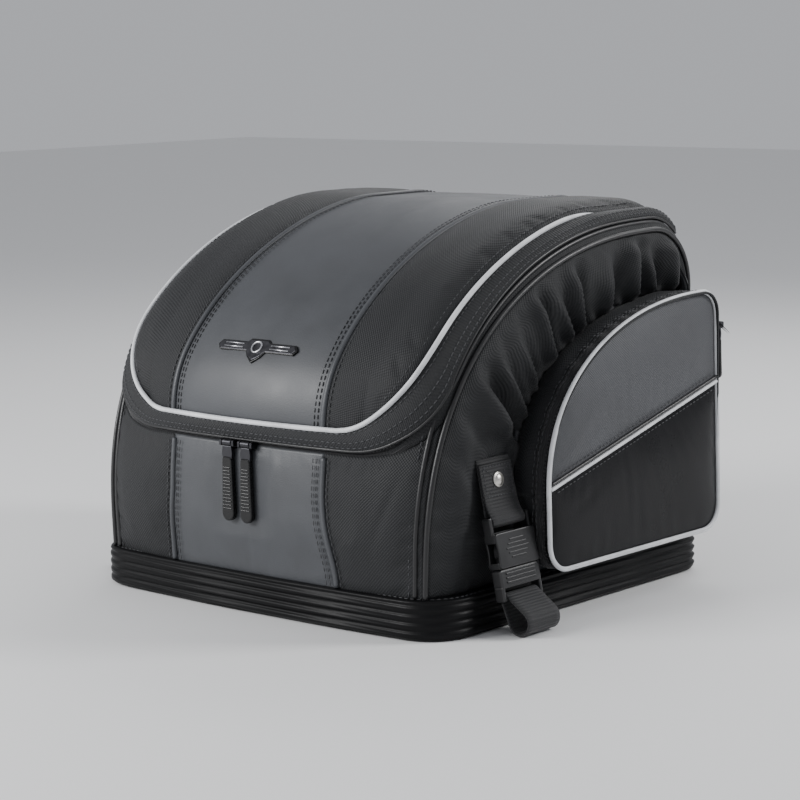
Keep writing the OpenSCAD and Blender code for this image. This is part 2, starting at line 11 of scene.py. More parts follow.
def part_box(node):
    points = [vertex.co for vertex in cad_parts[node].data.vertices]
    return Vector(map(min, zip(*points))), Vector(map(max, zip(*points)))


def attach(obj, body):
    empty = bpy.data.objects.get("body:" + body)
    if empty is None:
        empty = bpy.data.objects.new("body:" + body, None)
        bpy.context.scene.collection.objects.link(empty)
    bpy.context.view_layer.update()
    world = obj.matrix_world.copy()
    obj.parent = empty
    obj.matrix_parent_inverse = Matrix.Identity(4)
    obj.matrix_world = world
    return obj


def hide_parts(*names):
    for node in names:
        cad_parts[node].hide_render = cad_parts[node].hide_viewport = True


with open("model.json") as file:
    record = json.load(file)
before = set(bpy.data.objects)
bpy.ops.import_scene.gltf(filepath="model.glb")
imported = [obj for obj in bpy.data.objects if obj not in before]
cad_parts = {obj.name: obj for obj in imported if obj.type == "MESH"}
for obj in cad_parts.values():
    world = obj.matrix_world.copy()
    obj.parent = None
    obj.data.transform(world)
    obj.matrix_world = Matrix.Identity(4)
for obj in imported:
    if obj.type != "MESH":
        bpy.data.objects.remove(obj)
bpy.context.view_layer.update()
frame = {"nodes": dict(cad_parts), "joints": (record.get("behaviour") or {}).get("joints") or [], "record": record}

MM = 0.001
SIDES = (("left", -1), ("right", 1))
SIM_SCALE = 4.0     # the panels are simulated larger, where Blender's cloth is steadier
SIM_FRAMES = 20

CAMERA_PLACE = (1.296, -1.502, 0.438)
CAMERA_AIM = (0.004, -0.006, 0.143)
CAMERA_ROLL = -0.86     # degrees
LENS_MM, SENSOR_MM = 112, 36
LIGHT_AIM = (0, 0, 0.15)
LIGHTS = (              # name, place, width and height in metres, watts
    ("key", (-0.9, -1.6, 0.95), (1.1, 0.8), 40),
    ("side", (1.25, 0.95, 1.05), (0.5, 0.6), 19),
    ("back", (-0.4, 1.4, 1.3), (1.4, 0.7), 10))
FLOOR_HALF = 6.0


# ---------------------------------------------------------------- camera, floor and lights
def low(node):
    """The low corner of a CAD node's box, in mm."""
    return np.array(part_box(node)[0]) / MM


def high(node):
    """The high corner of a CAD node's box, in mm."""
    return np.array(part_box(node)[1]) / MM


def make_camera():
    place = Vector(CAMERA_PLACE)
    forward = (Vector(CAMERA_AIM) - place).normalized()
    right = forward.cross(Vector((0, 0, 1))).normalized()
    up = right.cross(forward)
    roll = math.radians(CAMERA_ROLL)
    turned = right * math.cos(roll) + up * math.sin(roll)
    upright = turned.cross(forward)
    data = bpy.data.cameras.new("camera")
    data.lens = LENS_MM
    data.sensor_width = SENSOR_MM
    camera = bpy.data.objects.new("camera", data)
    camera.matrix_world = Matrix((turned, upright, -forward)).transposed().to_4x4()
    camera.location = place
    bpy.context.scene.collection.objects.link(camera)
    bpy.context.scene.camera = camera


def area_light(name, place, size, power):
    """A soft light that looks at the bag."""
    data = bpy.data.lights.new(name, "AREA")
    data.shape = "RECTANGLE"
    data.size, data.size_y = size
    data.energy = power
    light = bpy.data.objects.new(name, data)
    light.location = place
    light.rotation_euler = (Vector(LIGHT_AIM) - Vector(place)).to_track_quat("-Z", "Y").to_euler()
    bpy.context.scene.collection.objects.link(light)


def make_stage():
    """A pale floor and soft studio light."""
    world = bpy.data.worlds.new("studio")
    world.use_nodes = True
    background = world.node_tree.nodes["Background"]
    background.inputs["Color"].default_value = (0.93, 0.95, 1, 1)
    background.inputs["Strength"].default_value = 0.5
    bpy.context.scene.world = world
    for light in LIGHTS:
        area_light(*light)
    mesh = bpy.data.meshes.new("floor")
    corners = [(x * FLOOR_HALF, y * FLOOR_HALF, 0) for x, y in ((-1, -1), (1, -1), (1, 1), (-1, 1))]
    mesh.from_pydata(corners, [], [(0, 1, 2, 3)])
    floor = bpy.data.objects.new("floor", mesh)
    floor.location.z = -0.0005
    bpy.context.scene.collection.objects.link(floor)
    pale = bpy.data.materials.new("pale_floor")
    pale.use_nodes = True
    shader = pale.node_tree.nodes["Principled BSDF"]
    shader.inputs["Base Color"].default_value = (0.82, 0.82, 0.82, 1)
    shader.inputs["Roughness"].default_value = 0.7
    mesh.materials.append(pale)


# ---------------------------------------------------------------- materials
class Tree:
    """A short way to write a material's nodes."""

    def __init__(self, name):
        self.material = bpy.data.materials.new(name)
        self.material.use_nodes = True
        self.tree = self.material.node_tree
        self.shader = self.tree.nodes["Principled BSDF"]

    def node(self, kind, settings=(), **links):
        made = self.tree.nodes.new(kind)
        for key, value in dict(settings).items():
            setattr(made, key, value)
        for key, value in links.items():
            self.put(made.inputs[key.replace("_", " ")], value)
        return made

    def put(self, socket, value):
        if isinstance(value, bpy.types.NodeSocket):
            self.tree.links.new(value, socket)
        else:
            socket.default_value = value

    def math(self, operation, a, b=0.0):
        made = self.tree.nodes.new("ShaderNodeMath")
        made.operation = operation
        self.put(made.inputs[0], a)
        self.put(made.inputs[1], b)
        return made.outputs[0]

    def uv(self):
        made = self.node("ShaderNodeUVMap", {"uv_map": "cloth"})
        split = self.node("ShaderNodeSeparateXYZ", Vector=made.outputs["UV"])
        return made.outputs["UV"], split.outputs["X"], split.outputs["Y"]

    def place(self):
        return self.node("ShaderNodeTexCoord").outputs["Object"]

    def noise(self, where, scale, detail=4.0, rough=0.55):
        made = self.node("ShaderNodeTexNoise", Vector=where, Scale=scale, Detail=detail)
        made.inputs["Roughness"].default_value = rough
        return made.outputs["Fac"]

    def spread(self, value, a, b, to_a, to_b):
        made = self.node("ShaderNodeMapRange", Value=value)
        made.inputs["From Min"].default_value = a
        made.inputs["From Max"].default_value = b
        made.inputs["To Min"].default_value = to_a
        made.inputs["To Max"].default_value = to_b
        return made.outputs["Result"]

    def ramp(self, value, dark, light):
        made = self.node("ShaderNodeValToRGB", Fac=value)
        made.color_ramp.elements[0].color = (*dark, 1)
        made.color_ramp.elements[0].position = 0.3
        made.color_ramp.elements[1].color = (*light, 1)
        made.color_ramp.elements[1].position = 0.7
        return made.outputs["Color"]

    def bump(self, *layers):
        """Each layer is (height, distance in metres, strength)."""
        normal = None
        for height, distance, strength in layers:
            made = self.node("ShaderNodeBump", Height=height, Distance=distance, Strength=strength)
            if normal is not None:
                self.put(made.inputs["Normal"], normal)
            normal = made.outputs["Normal"]
        self.put(self.shader.inputs["Normal"], normal)

    def finish(self, tone, dark_and_light, worn=None, rough=0.7, **plain):
        """The colour follows tone, and the roughness follows worn, or is the one value given."""
        self.put(self.shader.inputs["Base Color"], self.ramp(tone, *dark_and_light))
        if worn is not None:
            rough = self.spread(worn, 0.3, 0.7, *rough)
        self.put(self.shader.inputs["Roughness"], rough)
        for key, value in plain.items():
            self.shader.inputs[key.replace("_", " ")].default_value = value
        return self.material


def shades(colour, spread=0.25):
    """A darker and a lighter shade of a colour."""
    return tuple(c * (1 - spread) for c in colour), tuple(c * (1 + spread) for c in colour)


def woven(name, colour, thread_mm, depth, roughness=0.6, sheen=0.06):
    """A basket weave that follows the cloth's own UV map, which is in metres."""
    t = Tree(name)
    uv, u, v = t.uv()
    turn = math.pi / (thread_mm * MM)
    across = t.math("SINE", t.math("MULTIPLY", u, turn))
    along = t.math("SINE", t.math("MULTIPLY", v, turn))
    weave = t.math("MULTIPLY", across, along)
    threads = t.math("ADD", t.math("MULTIPLY", weave, 0.5), 0.5)
    fuzz = t.noise(uv, 900, 2)
    patch = t.noise(t.place(), 14, 3)
    tone = t.math("ADD", t.math("MULTIPLY", threads, 0.35), t.math("MULTIPLY", patch, 0.65))
    t.bump((threads, depth * MM, 0.9), (fuzz, 0.2 * MM, 0.5), (patch, 1.5 * MM, 0.15))
    return t.finish(tone, shades(colour), patch, (roughness - 0.06, roughness + 0.08),
                    Sheen_Weight=sheen, Sheen_Roughness=0.4, Specular_IOR_Level=0.3)


def vinyl(name, colour, roughness=0.42, grain_mm=0.9, shine=0.5):
    """Coated cloth with a fine leather-like grain."""
    t = Tree(name)
    place = t.place()
    cells = t.node("ShaderNodeTexVoronoi", Vector=place, Scale=1 / (grain_mm * MM))
    wear = t.noise(place, 22, 5)
    pores = t.noise(place, 1400, 2)
    t.bump((cells.outputs["Distance"], 0.12 * MM, 0.55), (pores, 0.06 * MM, 0.4),
           (wear, 1.2 * MM, 0.12))
    return t.finish(wear, shades(colour, 0.14), wear, (roughness - 0.05, roughness + 0.09),
                    Specular_IOR_Level=shine)


def ribbed(name, colour, rib_mm, roughness=0.6):
    """Webbing or zip tape: ribs across the length, with a fine twill."""
    t = Tree(name)
    _, u, v = t.uv()
    ribs = t.math("SINE", t.math("MULTIPLY", v, 2 * math.pi / (rib_mm * MM)))
    slant = t.math("MULTIPLY", t.math("ADD", u, v), 2 * math.pi / (1.3 * MM))
    fine = t.math("SINE", slant)
    height = t.math("ADD", t.math("MULTIPLY", ribs, 0.6), t.math("MULTIPLY", fine, 0.25))
    patch = t.noise(t.place(), 40, 3)
    t.bump((height, 0.35 * MM, 0.8), (patch, 0.8 * MM, 0.15))
    return t.finish(patch, shades(colour, 0.3), patch, (roughness - 0.06, roughness + 0.06),
                    Sheen_Weight=0.1, Specular_IOR_Level=0.4)


def moulded(name, colour, roughness, grain=0.25, coat=0.0, shine=0.5):
    """Plastic or rubber with a fine spark-eroded skin."""
    t = Tree(name)
    place = t.place()
    fine = t.noise(place, 900, 3)
    wear = t.noise(place, 60, 4)
    t.bump((fine, 0.15 * MM, grain), (wear, 0.4 * MM, 0.08))
    return t.finish(wear, shades(colour, 0.2), wear, (roughness - 0.05, roughness + 0.08),
                    Coat_Weight=coat, Coat_Roughness=0.12, Specular_IOR_Level=shine)


def metal(name, colour, roughness, brushed=True):
    t = Tree(name)
    place = t.place()
    lines = t.node("ShaderNodeMapping", Vector=place)
    lines.inputs["Scale"].default_value = (1, 1, 14) if brushed else (1, 1, 1)
    scratch = t.noise(lines.outputs["Vector"], 220, 4)
    t.bump((scratch, 0.1 * MM, 0.25))
    return t.finish(scratch, shades(colour, 0.12), scratch, (roughness, roughness + 0.15),
                    Metallic=1.0)


def reflective(name):
    """Silver piping: a bright woven skin with a slanting rib and a little soiling."""
    t = Tree(name)
    _, u, v = t.uv()
    slant = t.math("SINE", t.math("MULTIPLY", t.math("ADD", u, v), 2 * math.pi / (1.6 * MM)))
    soil = t.noise(t.place(), 45, 4)
    t.bump((slant, 0.15 * MM, 0.5), (soil, 0.5 * MM, 0.1))
    return t.finish(soil, ((0.6, 0.61, 0.63), (0.84, 0.85, 0.87)), soil, (0.3, 0.42),
                    Specular_IOR_Level=0.7, Sheen_Weight=0.15)


def openwork(name, colour):
    """Mesh lining, shown by its relief and by painted shade in its holes."""
    t = Tree(name)
    uv = t.uv()[0]
    cells = t.node("ShaderNodeTexVoronoi", Vector=uv, Scale=420)
    cells.inputs["Randomness"].default_value = 0.1
    hole = t.spread(cells.outputs["Distance"], 0.25, 0.4, 0, 1)
    t.bump((hole, 0.5 * MM, 0.9))
    # the holes' darker colour is painted shade: the mesh has no real holes, and the lining behind it is no darker
    return t.finish(hole, shades(colour, 0.6))


MATERIALS = {
    "ballistic_nylon": woven("nylon", (0.013, 0.0137, 0.0152), 1.3, 0.36),
    # lighter than the other nylon: partly a smoother satin nylon, partly painted light, the pocket face's
    # reflection painted into its colour
    "pocket_nylon_painted_light": woven("fine_nylon_painted_light", (0.062, 0.064, 0.07), 1.1, 0.25, 0.42),
    "smooth_vinyl": vinyl("centre_vinyl", (0.05, 0.053, 0.059), 0.46),
    "dark_vinyl": vinyl("pocket_vinyl", (0.009, 0.009, 0.01), 0.3, shine=0.14),
    "base_binding": vinyl("binding", (0.0045, 0.0045, 0.005), 0.42, shine=0.14),
    "black_piping": vinyl("piping", (0.01, 0.01, 0.011), 0.36, 0.7),
    "silver_piping": reflective("silver"),
    "lining": woven("lining", (0.05, 0.052, 0.056), 0.9, 0.2, 0.75, 0.4),
    "lining_mesh": openwork("mesh", (0.05, 0.05, 0.055)),
    "zipper_tape": ribbed("tape", (0.012, 0.012, 0.0135), 2.0),
    "zipper_coil": moulded("coil", (0.02, 0.02, 0.022), 0.34, 0.15, 0.2),
    "webbing": ribbed("webbing", (0.013, 0.013, 0.0145), 2.6),
    "grip_base": moulded("grip", (0.02, 0.02, 0.02), 0.75, 0.8),
    "floor_board": moulded("board", (0.05, 0.05, 0.052), 0.7, 0.5),
    "buckle_plastic": moulded("acetal", (0.012, 0.012, 0.013), 0.36, 0.3),
    "pull_plastic": moulded("gloss", (0.006, 0.006, 0.0065), 0.22, 0.1, shine=0.3),
    "handle_rubber": moulded("rubber", (0.02, 0.02, 0.021), 0.65, 0.6),
    "thread": moulded("thread", (0.045, 0.046, 0.05), 0.6, 0.6),
    "slider_metal": metal("black_nickel", (0.05, 0.05, 0.055), 0.28, False),
    "rivet_steel": metal("rivet", (0.62, 0.6, 0.56), 0.25),
    "ring_steel": metal("wire", (0.42, 0.42, 0.44), 0.3),
    "badge_metal": metal("badge", (0.55, 0.55, 0.57), 0.22),
}


# ---------------------------------------------------------------- mesh helpers, in millimetres
CENTRE = (0, 0, 120)        # a point inside the bag, from which its outer faces look away


def make_piece(name, verts, faces, body, slot, replaces=(), uv=None, material=None, smooth=True):
    """A mesh object from points in mm, with its UV map in metres, riding on a CAD body."""
    mesh = bpy.data.meshes.new(name)
    mesh.from_pydata((np.asarray(verts, float) * MM).tolist(), [], faces)
    mesh.validate()
    if uv is not None:
        layer = mesh.uv_layers.new(name="cloth")
        corners = np.zeros(len(mesh.loops), np.int32)
        mesh.loops.foreach_get("vertex_index", corners)
        layer.data.foreach_set("uv", (np.asarray(uv, float)[corners] * MM).ravel())
    if smooth:
        mesh.polygons.foreach_set("use_smooth", [True] * len(mesh.polygons))
    mesh.materials.append(MATERIALS[material or slot])
    piece = bpy.data.objects.new(name, mesh)
    bpy.context.scene.collection.objects.link(piece)
    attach(piece, body)
    if replaces:
        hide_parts(*replaces)
    return piece


def grid_uv(grid):
    """Distances along a grid's rows and columns, in mm."""
    across = np.linalg.norm(np.diff(grid, axis=1), axis=2)
    down = np.linalg.norm(np.diff(grid, axis=0), axis=2)
    u = np.concatenate([np.zeros((len(grid), 1)), np.cumsum(across, axis=1)], axis=1)
    v = np.concatenate([np.zeros((1, grid.shape[1])), np.cumsum(down, axis=0)], axis=0)
    u = u - u[:, u.shape[1] // 2:u.shape[1] // 2 + 1]
    return np.stack([u, v], axis=2).reshape(-1, 2)


def grid_normals(grid):
    """Unit normals at the points of a grid."""
    du = np.gradient(grid, axis=1)
    dv = np.gradient(grid, axis=0)
    n = np.cross(du, dv)
    return n / np.maximum(np.linalg.norm(n, axis=2, keepdims=True), 1e-9)


def outward(grid, normals, centre):
    """The normals, turned so that they point away from centre."""
    away = grid - np.asarray(centre, float)
    return normals if (away * normals).sum() >= 0 else -normals


def sheet_piece(name, grid, thickness, body, slot, replaces=(), centre=CENTRE, ring=False,
                material=None, inner=None):
    """A sewn panel: a grid of points on its outer face, closed by an inner face and edges."""
    grid = np.asarray(grid, float)
    rows, cols = grid.shape[:2]
    normals = outward(grid, grid_normals(grid), centre)
    under = grid - normals * thickness
    verts = np.concatenate([grid.reshape(-1, 3), under.reshape(-1, 3)])
    uv = np.tile(grid_uv(grid), (2, 1))
    offset = rows * cols
    last = cols if ring else cols - 1
    faces = []
    for r in range(rows - 1):
        for c in range(last):
            n = (c + 1) % cols
            quad = (r * cols + c, r * cols + n, (r + 1) * cols + n, (r + 1) * cols + c)
            faces.append(quad)
            faces.append(tuple(offset + i for i in reversed(quad)))
    edges = [[r * cols + c for c in range(cols)] for r in (0, rows - 1)]
    if ring:
        edges = [e + e[:1] for e in edges]
    else:
        edges += [[r * cols + c for r in range(rows)] for c in (0, cols - 1)]
    for edge in edges:
        for a, b in zip(edge, edge[1:]):
            faces.append((a, b, offset + b, offset + a))
    piece = make_piece(name, verts, faces, body, slot, replaces, uv, material)
    if inner:
        piece.data.materials.append(MATERIALS[inner])
        for polygon in piece.data.polygons:
            if min(polygon.vertices) >= offset:
                polygon.material_index = 1
    tidy_normals(piece)
    return piece


def tidy_normals(piece):
    """Make all faces of a piece look outwards."""
    work = bmesh.new()
    work.from_mesh(piece.data)
    bmesh.ops.recalc_face_normals(work, faces=work.faces)
    work.to_mesh(piece.data)
    work.free()


def run_along(points):
    """The distance to each point of a path from its start."""
    return np.concatenate([[0], np.cumsum(np.linalg.norm(np.diff(points, axis=0), axis=1))])


def resample(points, count, closed=False):
    """The same path with count points, evenly spaced."""
    points = np.asarray(points, float)
    if closed:
        points = np.concatenate([points, points[:1]])
    run = run_along(points)
    at = np.linspace(0, run[-1], count + 1)[:-1] if closed else np.linspace(0, run[-1], count)
    return np.stack([np.interp(at, run, points[:, k]) for k in range(points.shape[1])], axis=1)


def length_of(points):
    return float(np.linalg.norm(np.diff(np.asarray(points, float), axis=0), axis=1).sum())


def frames_along(points, up, closed=False):
    """Unit vectors along a path, sideways and up, with up given as one vector or one a point."""
    points = np.asarray(points, float)
    if closed:
        along = np.roll(points, -1, axis=0) - np.roll(points, 1, axis=0)
    else:
        along = np.gradient(points, axis=0)
    along /= np.maximum(np.linalg.norm(along, axis=1, keepdims=True), 1e-9)
    up = np.broadcast_to(np.asarray(up, float), points.shape)
    side = np.cross(along, up)
    side /= np.maximum(np.linalg.norm(side, axis=1, keepdims=True), 1e-9)
    return along, side, np.cross(side, along)


def bridge(rings, around, closed=False):
    """Faces that join each ring of points to the next one, and close the first and the last."""
    faces = []
    for i in range(rings if closed else rings - 1):
        j = (i + 1) % rings
        for k in range(around):
            n = (k + 1) % around
            faces.append((i * around + k, i * around + n, j * around + n, j * around + k))
    if not closed:
        faces.append(tuple(range(around))[::-1])
        faces.append(tuple((rings - 1) * around + k for k in range(around)))
    return faces


def tube_data(points, radius, up, sides=10, closed=False, squeeze=1.0):
    """A round cord along a path, as verts, uv and faces."""
    points = np.asarray(points, float)
    _, side, top = frames_along(points, up, closed)
    count = len(points)
    verts, uv = [], []
    steps = run_along(points)
    radii = np.broadcast_to(np.asarray(radius, float), (count,))
    for i in range(count):
        for k in range(sides):
            a = 2 * math.pi * k / sides
            verts.append(points[i] + radii[i] * (math.cos(a) * side[i]
                         + squeeze * math.sin(a) * top[i]))
            uv.append((radii[i] * a, steps[i]))
    return verts, uv, bridge(count, sides, closed)


def tube_piece(name, points, radius, up, body, slot, replaces=(), sides=10, closed=False,
               squeeze=1.0, material=None):
    verts, uv, faces = tube_data(points, radius, up, sides, closed, squeeze)
    piece = make_piece(name, verts, faces, body, slot, replaces, uv, material)
    tidy_normals(piece)
    return piece


class Parts:
    """Gathers many small meshes into one piece."""

    def __init__(self):
        self.verts, self.uv, self.faces = [], [], []

    def add(self, verts, uv, faces):
        base = len(self.verts)
        self.verts += [tuple(v) for v in verts]
        self.uv += [tuple(v) for v in uv]
        self.faces += [tuple(base + i for i in f) for f in faces]

    def piece(self, name, body, slot, replaces=(), material=None, smooth=True):
        made = make_piece(name, self.verts, self.faces, body, slot, replaces, self.uv,
                          material, smooth)
        tidy_normals(made)
        return made

    def sew(self, name, body):
        """The gathered stitches, as one piece of thread."""
        return self.piece(name, body, "", material="thread")


FINE_STITCH = (2.4, 1.0, 0.36)      # length, gap and thread radius on webbing


def add_stitches(parts, points, up, stitch=3.4, gap=1.5, radius=0.42, lift=0.25):
    """Raised thread along a path: each stitch dips into the cloth at both ends."""
    points = np.asarray(points, float)
    count = max(2, int(length_of(points) / (stitch + gap)))
    steps = run_along(points)
    up = np.broadcast_to(np.asarray(up, float), points.shape)

    def at(distance, table):
        return np.array([np.interp(distance, steps, table[:, k]) for k in range(3)])

    for i in range(count):
        start = (i + 0.15) * steps[-1] / count
        path, tops = [], []
        for share in (0, 0.2, 0.5, 0.8, 1):
            d = start + share * stitch
            top = at(min(d, steps[-1]), up)
            rise = lift * (1 - abs(2 * share - 1) ** 2) - 0.25
            path.append(at(min(d, steps[-1]), points) + top * rise)
            tops.append(top)
        radii = radius * np.array([0.55, 0.95, 1, 0.95, 0.55])
        parts.add(*tube_data(path, radii, np.array(tops), 6))


def add_teeth(parts, points, side, up, pitch=2.9, reach=1.9, height=1.5):
    """Zip teeth along a path, each one a small rounded block that leans across the gap."""
    points = np.asarray(points, float)
    count = int(length_of(points) / pitch)
    even = resample(points, count)
    sides = resample(np.broadcast_to(np.asarray(side, float), points.shape), count)
    ups = resample(np.broadcast_to(np.asarray(up, float), points.shape), count)
    for centre, across, top in zip(even, sides, ups):
        path = [centre - across * reach * 0.5, centre - across * reach * 0.2,
                centre + across * reach * 0.25, centre + across * reach * 0.5]
        radii = np.array([0.55, 0.85, 0.95, 0.6]) * height * 0.55
        parts.add(*tube_data(path, radii, top, 6))


def box_data(centre, size, axes=np.eye(3), bevel=0.6, steps=2):
    """A box with rounded edges, as verts, uv and faces."""
    work = bmesh.new()
    bmesh.ops.create_cube(work, size=1.0)
    for v in work.verts:
        v.co = Vector(np.array(v.co) * np.asarray(size, float))
    if bevel:
        bmesh.ops.bevel(work, geom=work.edges[:], offset=bevel, segments=steps, profile=0.6,
                        affect="EDGES")
    local = np.array([v.co for v in work.verts])
    faces = [tuple(v.index for v in f.verts) for f in work.faces]
    work.free()
    verts = np.asarray(centre, float) + local @ np.asarray(axes, float)
    return verts, local[:, :2], faces


def outline_slab(outline, thickness, bevel=0.8, steps=2):
    """A flat outline in its own x, y plane, given thickness and rounded edges."""
    work = bmesh.new()
    ring = [work.verts.new((x, y, -thickness / 2)) for x, y in outline]
    face = work.faces.new(ring)
    made = bmesh.ops.extrude_face_region(work, geom=[face])
    for v in made["geom"]:
        if isinstance(v, bmesh.types.BMVert):
            v.co.z += thickness
    bmesh.ops.recalc_face_normals(work, faces=work.faces)
    if bevel:
        sharp = [e for e in work.edges if e.calc_face_angle(0) > 0.9]
        bmesh.ops.bevel(work, geom=sharp, offset=bevel, segments=steps, profile=0.6, affect="EDGES")
    bmesh.ops.triangulate(work, faces=[f for f in work.faces if len(f.verts) > 4])
    work.verts.index_update()
    local = np.array([v.co for v in work.verts])
    faces = [tuple(v.index for v in f.verts) for f in work.faces]
    work.free()
    return local, local[:, :2], faces


def smoothstep(x):
    """0 below 0, 1 above 1, and a smooth rise between."""
    x = np.clip(x, 0, 1)
    return x * x * (3 - 2 * x)


def mirrored(points):
    """The same points on the other side of the bag."""
    return np.asarray(points, float) * np.array([-1, 1, 1])


# ---------------------------------------------------------------- the bag's shape
BAND_TOP = high("base_band")[2]
ZIP_Z = high("rear_zip_tape")[2]
LID_EDGE_Z = low("lid_panel_right")[2]
LID_TOP = high("lid_panel_right")[2]
LID_HALF = high("lid_panel_right")[0]
FRONT_Y = high("front_panel")[1]
SIDE_TOP = high("side_panel_right")[2]
SIDE_X = high("side_panel_right")[0]
SEAM_X = (high("lid_center_panel")[0] - low("lid_center_panel")[0]) / 2 - 5

LID_REAR = -173.0       # rear edge of the lid at its corners
LID_BOW = 11.0          # how much further back it is at the middle
LID_BOW_HALF = 112.0
LID_CORNER = (60.0, 50.0)   # its rear corners from above, across and along
LID_SQUARE = 3.2        # exponent of that corner
LID_CREST_Y = 52.0      # where its side edge stops rising
LID_POWER = 1.7
LID_FRONT = (112.0, 46.0)   # y of the lid's front corner's centre, and its radius
HINGE_TURN = 45.0       # where on that corner the fabric hinge lies, degrees
SIDE_REAR = -164.0
SIDE_TURN_Z = 54.0
SIDE_CREST_Y = 106.0
SIDE_POWER = 2.3
SIDE_FRONT_R = 50.0
JOIN_Z = 172.0          # where the black piping meets the weather flap
SILVER_RADIUS = 1.9     # of the piping round the lid and the pockets
WELT_RADIUS = 2.4       # of the padded seams beside the centre panels
LID_THICK, REAR_THICK, SIDE_THICK, POCKET_THICK = 5, 4, 3, 3
CORD_GAP = 7.0          # between the two black cords
ROLL = (18.0, 7.0)      # the lid's side edges roll over: width and drop
ROLL_LIFT = 3.2         # how far the lid stands above the line where it starts to roll
ROLL_ROWS = 24          # rows over which that begins at the rear edge
FLAP_END = 0.84         # the flap's and the zip's share of the way from the lid to the body
ZIP_AT = 0.52


def quarter(start, end, power, count):
    """A quarter of a superellipse from start, upright, to end, level."""
    t = np.linspace(0, math.pi / 2, count)
    y = end[0] - (end[0] - start[0]) * np.cos(t) ** (2 / power)
    z = start[1] + (end[1] - start[1]) * np.sin(t) ** (2 / power)
    return np.stack([y, z], axis=1)


def arc(centre, radius, start, end, count):
    """Points on a circle, from one angle to another, in degrees."""
    a = np.radians(np.linspace(start, end, count))
    return np.stack([centre[0] + radius * np.cos(a), centre[1] + radius * np.sin(a)], axis=1)


def pipe_x(z):
    """The side panel's outline leans out a little towards its top."""
    return SIDE_X - 7.5 + 0.04 * np.asarray(z)


def side_outline(gap=0.0, foot=None):
    """The side panel's outline as (y, z), from the rear foot over the top to the front foot."""
    foot = BAND_TOP if foot is None else foot
    corner = (SIDE_CREST_Y, SIDE_TOP - SIDE_FRONT_R)
    return np.concatenate([
        [[SIDE_REAR - gap, foot]],
        quarter((SIDE_REAR - gap, SIDE_TURN_Z), (SIDE_CREST_Y, SIDE_TOP + gap), SIDE_POWER, 90),
        arc(corner, SIDE_FRONT_R + gap, 86, 4, 14),
        [[FRONT_Y - 2 + gap, corner[1] - 6], [FRONT_Y - 2 + gap, foot]]])


CORNER_LINE = side_outline(1.5)[:70]


def rear_y(x, z):
    """The rear face: bowed across, bellied between the base band and the zip, and at its sides
    as far back as the side piping."""
    x = np.abs(np.asarray(x, float))
    z = np.asarray(z, float)
    centre = -175 - 7.0 * smoothstep((z - BAND_TOP) / 50) + 3.0 * smoothstep((z - 95) / 45)
    corner = np.interp(z, CORNER_LINE[:, 1], CORNER_LINE[:, 0])
    return corner + (centre - corner) * (1 - np.minimum(x / pipe_x(z), 1) ** 3.2)


def lid_rear(x):
    """The lid's rear edge, bowed across."""
    return LID_REAR - LID_BOW * (1 - np.clip(np.abs(x) / LID_BOW_HALF, 0, 1) ** 2)


def unit(v):
    """Vectors scaled to a length of 1."""
    return v / np.maximum(np.linalg.norm(v, axis=-1, keepdims=True), 1e-9)


def roll_share(row):
    """How much of the side edges' roll a row over the lid has."""
    return smoothstep(np.asarray(row, float) / ROLL_ROWS)


def lid_rows(count=104):
    """Each row over the lid: its half width, drop (1 at the rear edge, 0 at the crown), height
    and, past the crown, its y."""
    rows = []
    across, along = LID_CORNER
    for t in np.linspace(0, math.pi / 2, count):
        drop = math.cos(t) ** (2 / LID_POWER)
        ahead = min((1 - drop) * (LID_CREST_Y - LID_REAR), along)
        share = (1 - (1 - ahead / along) ** LID_SQUARE) ** (1 / LID_SQUARE)
        z = LID_EDGE_Z + (LID_TOP - LID_EDGE_Z) * math.sin(t) ** (2 / LID_POWER)
        rows.append((LID_HALF - across * (1 - share), drop, z, None))
    for y in np.linspace(LID_CREST_Y, LID_FRONT[0], 14)[1:-1]:
        rows.append((LID_HALF, 0.0, LID_TOP, y))
    centre = (LID_FRONT[0], LID_TOP - LID_FRONT[1])
    for y, z in arc(centre, LID_FRONT[1], 90, HINGE_TURN + 1, 12):
        rows.append((LID_HALF, 0.0, z, y))
    return rows


def row_points(row, x):
    """Points at x, a number or an array, on a row over the lid."""
    _, drop, z, y = row
    x = np.asarray(x, float)
    if y is None:
        y = LID_CREST_Y - (LID_CREST_Y - lid_rear(x)) * drop
    return np.stack(np.broadcast_arrays(x, y, z), axis=-1).astype(float)


